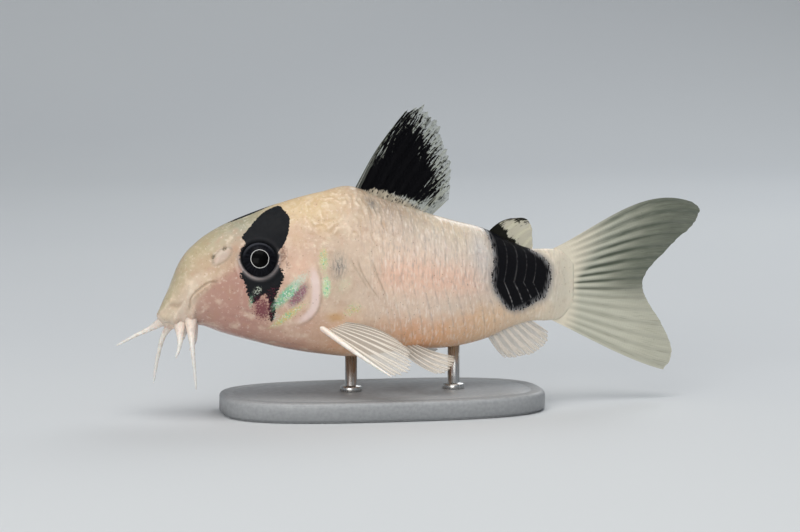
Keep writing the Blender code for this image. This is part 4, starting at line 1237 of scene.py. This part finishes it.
# %% Fin finish
def fin_finish(
    name, web, low_web, gap, ray_tone, base, alphas, black_reach=1.3, dusk=0.0,
    black=(0.002, 0.002, 0.003),
):
    """A see-through fin with pale rays and ragged black pigment."""
    material, tree, shader = new_material(name)
    lay = painted(tree, "lay", vector=True)
    ray = painted(tree, "ray")
    share = parts_of(lay)[2]
    cloud = noise(scaled(lay, (1.6, 0.5, 0.0)), 1.0, 3.0)
    hairs = noise(scaled(lay, (14.0, 0.5, 0.0)), 1.0, 2.0)
    colour = mix(stretch(painted(tree, "order"), 0.42, 0.66), web, low_web)
    colour = mix(stretch(cloud, 0.35, 0.65, 0.0, 0.25), colour, ray_tone)
    colour = mix(stretch(hairs, 0.50, 0.68, 0.0, 0.35), colour, ray_tone)
    colour = mix(stretch(hairs, 0.45, 0.30, 0.0, 0.30), colour, gap)
    joints = tree.nodes.new("ShaderNodeTexWave")
    joints.bands_direction = "Y"
    wire(scaled(lay, (0.4, 1.0, 0.0)), joints.inputs["Vector"])
    joints.inputs["Scale"].default_value = 1.15
    joints.inputs["Distortion"].default_value = 1.5
    joint_line = Value(joints.outputs["Fac"]) * ray
    ray_fade = ray * stretch(share, 0.35, 0.95, 0.75, 0.15)
    colour = mix(ray_fade, colour, ray_tone)
    colour = mix(joint_line * 0.10, colour, [c * 0.5 for c in ray_tone])
    fleshy = painted(tree, "flesh")
    colour = mix(fleshy, colour, base)
    colour = mix(painted(tree, "gap") * 0.95, colour, gap)
    upper_outer = stretch(share, 0.25, 0.85) * stretch(painted(tree, "order"), 0.7, 0.5)
    colour = mix(upper_outer * dusk, colour, gap)

    along_rays = scaled(lay, (5.5, 0.6, 0.0))
    edge_reach = stretch(share, 0.12, 0.55, 0.12 * black_reach, black_reach)
    darkness = painted(tree, "dark") + ray * 0.15
    pigment = use_group(
        tree, ragged, Inside=darkness, Place=along_rays, Grain=1.3, Reach=edge_reach
    )["Mask"]
    near_black = stretch(painted(tree, "dark"), -1.4 * black_reach, 0.0)
    speck_place = scaled(lay, (9.0, 3.0, 0.0))
    speck = use_group(tree, dots, Place=speck_place, Scale=1.0, Size=0.5, Share=0.55)["Mask"]
    pigment = larger(pigment, speck * near_black)
    pepper = use_group(
        tree, dots, Place=scaled(lay, (4.0, 2.4, 0.0)), Scale=1.0, Size=0.22, Share=0.08
    )["Mask"]
    stain = larger(pigment, pepper * 0.15)
    colour = mix(stain, colour, black)
    wire(colour, shader.inputs["Base Color"])
    web_alpha, ray_alpha, edge_loss = alphas
    alpha = stretch(ray, 0.1, 0.9, web_alpha, ray_alpha)
    alpha = maths("SUBTRACT", alpha, stretch(share, 0.6, 1.0, 0.0, edge_loss), clamp=True)
    alpha = larger(alpha, fleshy)
    alpha = larger(alpha, pigment * 0.97)
    wire(alpha, shader.inputs["Alpha"])
    wet = use_group(tree, grain, Place=scaled(lay, (3.0, 1.0, 0.0)), Scale=1.2, Gloss=0.42)
    dull = pigment * 0.3
    wire(maths("ADD", wet["Roughness"], dull, clamp=True), shader.inputs["Roughness"])
    height = wet["Height"] + joint_line * 0.5
    height = height + hairs * 0.8
    wire(bump(height, 0.35, 0.04), shader.inputs["Normal"])
    coat = maths("SUBTRACT", 1.0, pigment, clamp=True) * 0.25
    wire(coat, shader.inputs["Coat Weight"])
    set_constants(shader, Specular_IOR_Level=0.05, Coat_Roughness=0.2)
    return material


WEB_GREY, WEB_MILK, WEB_YELLOW = (0.28, 0.31, 0.25), (0.70, 0.64, 0.55), (0.62, 0.57, 0.42)
tail_web = fin_finish(
    "tail_web", (0.175, 0.195, 0.148), (0.52, 0.51, 0.41), (0.070, 0.085, 0.058), (0.60, 0.60, 0.50),
    (0.74, 0.68, 0.55), (0.88, 0.96, 0.12), dusk=0.6,
)
dark_web = fin_finish(
    "dark_web", WEB_GREY, WEB_GREY, (0.22, 0.24, 0.19), (0.36, 0.37, 0.30), (0.48, 0.41, 0.31),
    (0.42, 0.62, 0.20), 2.0,
)
milky_web = fin_finish(
    "milky_web", WEB_MILK, WEB_MILK, (0.56, 0.51, 0.44), (0.90, 0.83, 0.75), (0.76, 0.62, 0.50),
    (0.48, 0.92, 0.20),
)
yellow_web = fin_finish(
    "yellow_web", WEB_YELLOW, WEB_YELLOW, WEB_YELLOW, (0.66, 0.64, 0.48), (0.50, 0.46, 0.32),
    (0.60, 0.75, 0.05), 0.45, black=(0.012, 0.012, 0.009),
)
print("fin finishes:", tail_web.name, dark_web.name, milky_web.name, yellow_web.name)

# %% [markdown]
# ## The fins on the middle line
# Their roots start below the skin, so that each fin grows out of the flesh. The dorsal
# fin is black in front and below and breaks up towards its clear rear edge. The small
# adipose fin is a spine with a scrap of web, black where the saddle reaches up to it.

# %% Median fins
ROOT_SUNK = 0.7


def ridge(start, end, outline, lift):
    """Root points along the back or the belly, moved off it."""
    return [(x, 0.0, float(along(outline, x)) + lift) for x in np.linspace(start, end, 6)]


def flat_points(points):
    """Points (station, height) on the middle plane."""
    return [(x, 0.0, z) for x, z in points]


def masked(outline):
    """How far inside an outline (station, height) each point of a fin lies."""
    return lambda x, z, share: inside(outline, x, z)


DORSAL_EDGE = (
    (25.2, 30.1), (26.9, 30.4), (28.1, 29.1), (28.9, 27.3), (29.5, 25.4), (29.7, 23.4), (29.5, 21.2),
)
DORSAL_BLACK = (
    (20.1, 22.5), (21.7, 25.4), (23.3, 28.0), (24.7, 29.9), (25.6, 29.9), (26.5, 28.4), (27.4, 26.6),
    (28.0, 24.9), (28.3, 23.2), (27.9, 21.8), (26.9, 21.1), (25.2, 21.4), (23.8, 21.8), (22.2, 22.3),
)


def dorsal_opening(share, order):
    """Flesh-coloured web just over the back, then clear web between the rays."""
    return smooth(share, 0.15, 0.3), 0.85 * (1 - smooth(share, 0.10, 0.22))


make_fin(
    "dorsal",
    dark_web,
    "dark_fin",
    "dorsal_fin",
    masked(DORSAL_BLACK),
    opening=dorsal_opening,
    root=ridge(20.0, 27.2, BACK, -ROOT_SUNK),
    edge=flat_points(DORSAL_EDGE),
    bow=flat_points(((-0.35, 0.35), (-0.2, 0.3), (0.0, 0.2), (0.0, 0.0))),
    rays=9,
    rows=64,
    ray_half=0.13,
    web_half=0.07,
    split=0.3,
    ragged_by=0.035,
)
ADIPOSE_BLACK = (
    (32.5, 18.0), (33.6, 18.9), (34.6, 18.8), (35.2, 18.0), (35.7, 17.2), (36.5, 16.6), (36.5, 15.5),
    (33.0, 16.5),
)
ADIPOSE_EDGE = ((36.0, 19.1), (37.4, 19.05), (38.1, 18.2), (38.2, 17.2), (38.3, 16.3))


def adipose_black(x, z, share):
    """Black in front, along the upper edge and in a spot at the tip."""
    top = from_line(((33.3, 18.5), (34.8, 18.8), (36.0, 19.1), (37.4, 19.05)), x, z)[0]
    tip = 0.30 - np.hypot((x - 37.1) / 1.8, z - 18.95)
    return np.maximum(np.maximum(inside(ADIPOSE_BLACK, x, z), 0.05 - top), tip)


make_fin(
    "adipose",
    yellow_web,
    "fin",
    "adipose_fin",
    adipose_black,
    root=ridge(33.3, 38.0, BACK, -ROOT_SUNK),
    edge=flat_points(ADIPOSE_EDGE),
    bow=flat_points(((-0.1, 0.35), (0.0, 0.0))),
    rays=5,
    rows=60,
    ray_half=0.03,
    web_half=0.10,
    split=0.9,
    ragged_by=0.004,
)
make_fin(
    "anal",
    milky_web,
    "fin",
    "anal_fin",
    root=ridge(33.3, 37.4, BELLY, ROOT_SUNK),
    edge=flat_points(((35.4, 4.9), (37.0, 5.0), (38.5, 5.4), (39.6, 6.2), (40.0, 7.4))),
    bow=flat_points(((0.0, -0.3), (0.0, 0.0))),
    rays=8,
    rows=40,
    ray_half=0.12,
    web_half=0.06,
    split=0.4,
    ragged_by=0.03,
    wide=0.3,
)
TAIL_EDGE = (
    (55.6, 20.2), (56.4, 19.5), (56.2, 18.5), (55.4, 17.5), (54.0, 16.4), (52.7, 15.2), (51.4, 14.1),
    (50.5, 13.1), (50.1, 12.1), (50.3, 11.1), (50.9, 9.9), (51.9, 8.5), (52.8, 6.9), (53.4, 5.3),
    (53.3, 4.1), (52.5, 3.0),
)


def tail_opening(share, order):
    """Dark gaps in the middle of the tail fin, which start later and end later higher up."""
    start = 0.11 + 1.0 * np.maximum(0.47 - order, 0.0)
    strength = smooth(order, 0.06, 0.26) * (0.12 + 0.88 * smooth(order, 0.66, 0.50))
    opened = smooth(share, start, start + 0.10) * (1 - 0.85 * smooth(share, start + 0.25, 1.0))
    return strength * opened, 1 - smooth(share, 0.11, 0.25 + 0.5 * (start - 0.11))


make_fin(
    "caudal",
    tail_web,
    "fin",
    "tail_fin",
    opening=tail_opening,
    root=flat_points(((39.9, 15.7), (41.4, 12.3), (39.9, 8.8))),
    edge=flat_points(TAIL_EDGE),
    bow=flat_points(((-0.2, 1.5), (0.0, 0.5), (0.0, 0.0), (0.0, -0.2), (0.0, -0.3))),
    rays=16,
    rows=90,
    ray_half=0.10,
    web_half=0.06,
    split=0.35,
    ragged_by=0.004,
    wide=0.34,
    skew=0.8,
    ray_from=0.08,
)

# %% [markdown]
# ## The paired fins
# The pectoral fins stand out low behind the gills, each with a stout spine in front, and
# the pelvic fins hang below the belly. The left ones are shaped and the right ones are
# their mirror images. The spines are separate tapered rods laid along the front edges.

# %% Paired fins
PECTORAL_ROOT = ((15.4, 9.0), (16.4, 9.1), (17.4, 9.4))
PECTORAL_EDGE = (
    (21.9, -9.2, 4.6), (23.3, -8.9, 4.9), (24.0, -8.4, 5.8), (24.0, -7.9, 6.7), (23.6, -7.4, 7.4),
    (22.9, -6.9, 8.0),
)
PECTORAL_ARCH = [(-0.1, 0.0, -0.1), (0.0, -0.2, 0.3), (0.0, -0.2, 0.5)]
PELVIC_ROOT = ((23.4, 6.8), (24.3, 6.7), (25.2, 6.7))
PELVIC_EDGE = ((27.2, -5.6, 4.4), (28.3, -5.1, 4.5), (29.1, -4.3, 5.0), (29.4, -3.5, 5.6))
PELVIC_DROOP = [(0.0, -0.2, -0.4), (0.0, -0.1, -0.2)]


def skin_root(points, lift):
    """Root points at (station, height) on the left skin, moved out or in by a lift."""
    found = []
    for x, z in points:
        angle = angle_at(x, z)
        found.append(surface(x, angle) + outward(x, angle) * lift)
    return found


# Each pair of fins: its root, edge and arch, and its counts of rays and rows and its seed.
PAIRED = {
    "pectoral": (PECTORAL_ROOT, PECTORAL_EDGE, PECTORAL_ARCH, 9, 50, 3),
    "pelvic": (PELVIC_ROOT, PELVIC_EDGE, PELVIC_DROOP, 6, 40, 5),
}
for side, sign in (("left", 1.0), ("right", -1.0)):
    for kind, (root, edge, bow, rays, rows, seed) in PAIRED.items():
        make_fin(
            f"{kind}_{side}", milky_web, "fin", f"{kind}_fin_{side}", sign=sign,
            root=skin_root(root, -0.35), edge=edge, bow=bow, rays=rays, rows=rows,
            ray_half=0.12, web_half=0.05, split=0.4, ragged_by=0.04, seed=seed,
        )

# %% [markdown]
# ## Spines and barbels
# Both are rods along a smooth path. A spine keeps a flat oval section and ends in a
# point. A barbel is soft: it starts wide where the lip flares into it, thins out evenly,
# and its skin has faint rings. A finish like milk glass lets light into it.


# %% Rod builder and finishes
def rod(path, radius, flat=1.0, steps=60, sides=18, bumps=0.0):
    """A rod along points, open at both ends; radius is a function of the share along it."""
    line = trace(path, steps)
    way = np.gradient(line, axis=0)
    way /= np.linalg.norm(way, axis=1, keepdims=True)
    side = np.cross(way, (0.3, 0.2, 1.0) if abs(way[0][2]) < 0.8 else (0.1, 1.0, 0.0))
    side /= np.linalg.norm(side, axis=1, keepdims=True)
    over = np.cross(way, side)
    share = np.linspace(0.0, 1.0, steps + 1)
    thick = np.array([radius(s) for s in share]) * (1 + bumps * np.sin(share * 90.0))
    turn = np.linspace(0.0, 2 * math.pi, sides, endpoint=False)
    ring_points = side[:, None] * np.cos(turn)[None, :, None]
    ring_points = ring_points + over[:, None] * flat * np.sin(turn)[None, :, None]
    points = line[:, None] + ring_points * thick[:, None, None]
    faces, places = grid_faces(steps + 1, sides, True)
    values = {"share": (share[:, None] * np.ones(sides)).ravel()}
    return points, faces, places, values


def rod_finish(name, root_tone, tip_tone, root_alpha, tip_alpha, depth_mm):
    """A milky or horny rod that changes from root to tip."""
    material, tree, shader = new_material(name)
    place = place_in_mm(tree)
    share = painted(tree, "share")
    wet = use_group(tree, grain, Place=place, Scale=3.0, Gloss=0.3)
    colour = mix(stretch(share, 0.0, 0.5), root_tone, tip_tone)
    cloud = noise(place, 2.2, 3.0)
    colour = mix(stretch(cloud, 0.5, 0.7, 0.0, 0.4), colour, [c * 0.72 for c in root_tone])
    wire(colour, shader.inputs["Base Color"])
    wire(stretch(share, 0.0, 1.0, root_alpha, tip_alpha), shader.inputs["Alpha"])
    wire(wet["Roughness"], shader.inputs["Roughness"])
    wire(bump(wet["Height"], 0.4, 0.04), shader.inputs["Normal"])
    set_constants(shader, Subsurface_Weight=0.4, Subsurface_Radius=(1.0, 0.7, 0.55))
    set_constants(shader, Subsurface_Scale=depth_mm * MM, Coat_Weight=0.35, Coat_Roughness=0.12)
    return material


barbel_finish = rod_finish("milky_barbel", (0.82, 0.68, 0.58), (0.90, 0.86, 0.80), 1.0, 0.72, 0.5)
spine_finish = rod_finish("pale_spine", (0.92, 0.78, 0.68), (0.96, 0.88, 0.80), 1.0, 0.95, 0.3)
dark_spine = rod_finish("dark_spine", (0.045, 0.05, 0.04), (0.09, 0.10, 0.08), 1.0, 0.85, 0.1)
print("rod finishes:", barbel_finish.name, spine_finish.name, dark_spine.name)

# %% Spines and barbels
BARBEL_THICK = 0.42
LIP_THICK = 0.34
# Each barbel: its root (station, height) and moves of its path back, sideways and down.
BARBELS = {
    "barbel_outer_left": ((2.6, 9.9), ((-0.1, 0.3, 1.4), (0.0, 0.6, 3.5), (0.2, 0.7, 6.1))),
    "barbel_outer_right": ((2.5, 9.9), ((-0.9, 0.6, 1.3), (-1.5, 0.9, 3.6), (-1.9, 1.1, 6.3))),
    "barbel_inner_left": ((1.6, 9.55), ((-0.1, 0.2, 0.8), (-0.3, 0.4, 1.7), (-0.7, 0.5, 2.6))),
    "barbel_inner_right": ((1.3, 9.8), ((-1.0, 0.6, 0.6), (-2.4, 1.4, 1.4), (-4.0, 2.2, 2.4))),
    "barbel_chin_left": ((2.9, 9.4), ((0.0, 0.0, 0.5), (-0.2, 0.1, 1.1), (-0.5, 0.1, 1.7))),
    "barbel_chin_right": ((2.9, 9.4), ((0.0, 0.0, 0.5), (-0.2, 0.1, 1.1), (-0.5, 0.1, 1.7))),
}
for name, ((x, z), moves) in BARBELS.items():
    side = -1.0 if name.endswith("left") else 1.0
    angle = angle_at(x, z)
    away = outward(x, angle)
    root = surface(x, angle) + away * (0.3 + BARBEL_THICK + LIP_THICK / 2)
    path = [surface(x, angle) - away * 0.3]
    path += [root + np.array((back, -sideways, -drop)) for back, sideways, drop in moves]
    path = np.array(path) * (1.0, -side, 1.0)
    points, faces, places, values = rod(
        path,
        lambda s: BARBEL_THICK * (0.88 - 0.62 * s**0.8) * (1 - 0.7 * s**14)
        + 0.32 * math.exp(-((s / 0.22) ** 2)),
        bumps=0.012,
    )
    new_piece(f"{name}_flesh", posed(points), faces, barbel_finish, (name,), values, places)

# Each spine: its path, or None to follow the pectoral fin, its thickness and its side.
SPINES = {
    "dorsal_spine": ([(20.0, 0.0, 22.0), (22.3, 0.0, 26.2), (25.1, 0.0, 30.0)], 0.27, 1.0),
    "pectoral_spine_left": (None, 0.44, 1.0),
    "pectoral_spine_right": (None, 0.44, -1.0),
}
for name, (path, thick, sign) in SPINES.items():
    if path is None:
        start, end = skin_root(PECTORAL_ROOT[:1], -0.4)[0], np.array(PECTORAL_EDGE[0])
        arch = np.array(PECTORAL_ARCH[0])
        path = [start + (end - start) * t + arch * 4 * t * (1 - t) for t in (0.0, 0.25, 0.5, 0.75, 1.0)]
        path = np.array(path) * (1.0, sign, 1.0)
    points, faces, places, values = rod(path, lambda s: thick * (1 - 0.8 * s**1.3), flat=0.75)
    finish, slot = (dark_spine, "dark_fin") if name.startswith("dorsal") else (spine_finish, "fin")
    new_piece(name, posed(points), faces, finish, (), values, places)

# %% [markdown]
# ## The stand
# A fish that swims needs something to hold it. A flat oval plinth of painted metal and
# two thin steel rods do that and draw no attention. The plinth gets a rounded rim and a
# fine shadow line, and each rod a small collar where it enters the plinth.

# %% Stand
PLINTH_LENGTH, PLINTH_WIDTH, PLINTH_TALL = 32.7, 17.3, 2.0
ROD_RADIUS = 0.6
ROD_STATIONS = {"front": 19.5, "rear": 30.0}
OVAL_POWER = 0.7

paint, tree, shader = new_material("satin_paint")
place = place_in_mm(tree)
speck = noise(place, 3.0, 5.0)
tone = ramp(speck, [(0.35, (0.30, 0.31, 0.32)), (0.65, (0.36, 0.37, 0.38))])
wire(tone, shader.inputs["Base Color"])
wet = use_group(tree, grain, Place=place, Scale=1.5, Gloss=0.42)
wire(wet["Roughness"], shader.inputs["Roughness"])
wire(bump(noise(place, 9.0, 3.0), 0.3, 0.03), shader.inputs["Normal"])

steel, tree, shader = new_material("drawn_steel")
place = place_in_mm(tree)
drawn = noise(scaled(place, (6.0, 6.0, 0.3)), 2.0, 4.0)
wire(
    ramp(drawn, [(0.3, (0.50, 0.50, 0.49)), (0.7, (0.66, 0.66, 0.65))]),
    shader.inputs["Base Color"],
)
wire(stretch(drawn, 0.3, 0.7, 0.2, 0.36), shader.inputs["Roughness"])
wire(bump(drawn, 0.2, 0.02), shader.inputs["Normal"])
set_constants(shader, Metallic=1.0)


def turned(centre, profile, count, length=1.0, width=1.0, power=1.0):
    """A closed body from a profile of (size, height), round or oval."""
    turn = np.linspace(0.0, 2 * math.pi, count, endpoint=False)
    c, s = np.cos(turn), np.sin(turn)
    x, y = np.sign(c) * np.abs(c) ** power, np.sign(s) * np.abs(s) ** power
    rings = []
    for size, height in profile:
        reach = np.maximum((length + size, width + size), 0.0)
        rings.append(
            np.stack([centre[0] + x * reach[0], centre[1] + y * reach[1], np.full(count, height)], -1)
        )
    faces, places = grid_faces(len(profile), count, True)
    return np.array(rings), faces, places


RIM = 0.45
profile = [(-99.0, 0.0), (-0.5, 0.0), (-0.25, 0.05), (-0.25, 0.25), (0.0, 0.3)]
profile += [
    (RIM * (math.cos(t) - 1), PLINTH_TALL + RIM * (math.sin(t) - 1))
    for t in np.linspace(0, math.pi / 2, 12)
]
profile += [(-1.2, PLINTH_TALL), (-1.28, PLINTH_TALL - 0.06), (-1.45, PLINTH_TALL - 0.06)]
profile += [(-1.53, PLINTH_TALL), (-4.0, PLINTH_TALL), (-99.0, PLINTH_TALL)]
points, faces, places = turned(
    (STAND_STATION, 0.0), profile, 240, PLINTH_LENGTH / 2, PLINTH_WIDTH / 2, OVAL_POWER
)
new_piece("plinth", posed(points, False), faces, paint, ("stand_plinth",), None, places)

for end, station in ROD_STATIONS.items():
    top = float(surface(station, math.pi)[2]) + 0.5
    foot = PLINTH_TALL - 0.02
    profile = [(-1.0, foot), (0.45, foot), (0.5, foot + 0.1), (0.5, foot + 0.45), (0.4, foot + 0.55)]
    profile += [(0.02, foot + 0.6), (0.0, foot + 0.62), (0.0, top), (-1.0, top)]
    points, faces, places = turned((station, 0.0), profile, 48, ROD_RADIUS, ROD_RADIUS)
    new_piece(
        f"rod_{end}", posed(points, False), faces, steel, (f"stand_rod_{end}",), None,
        places,
    )
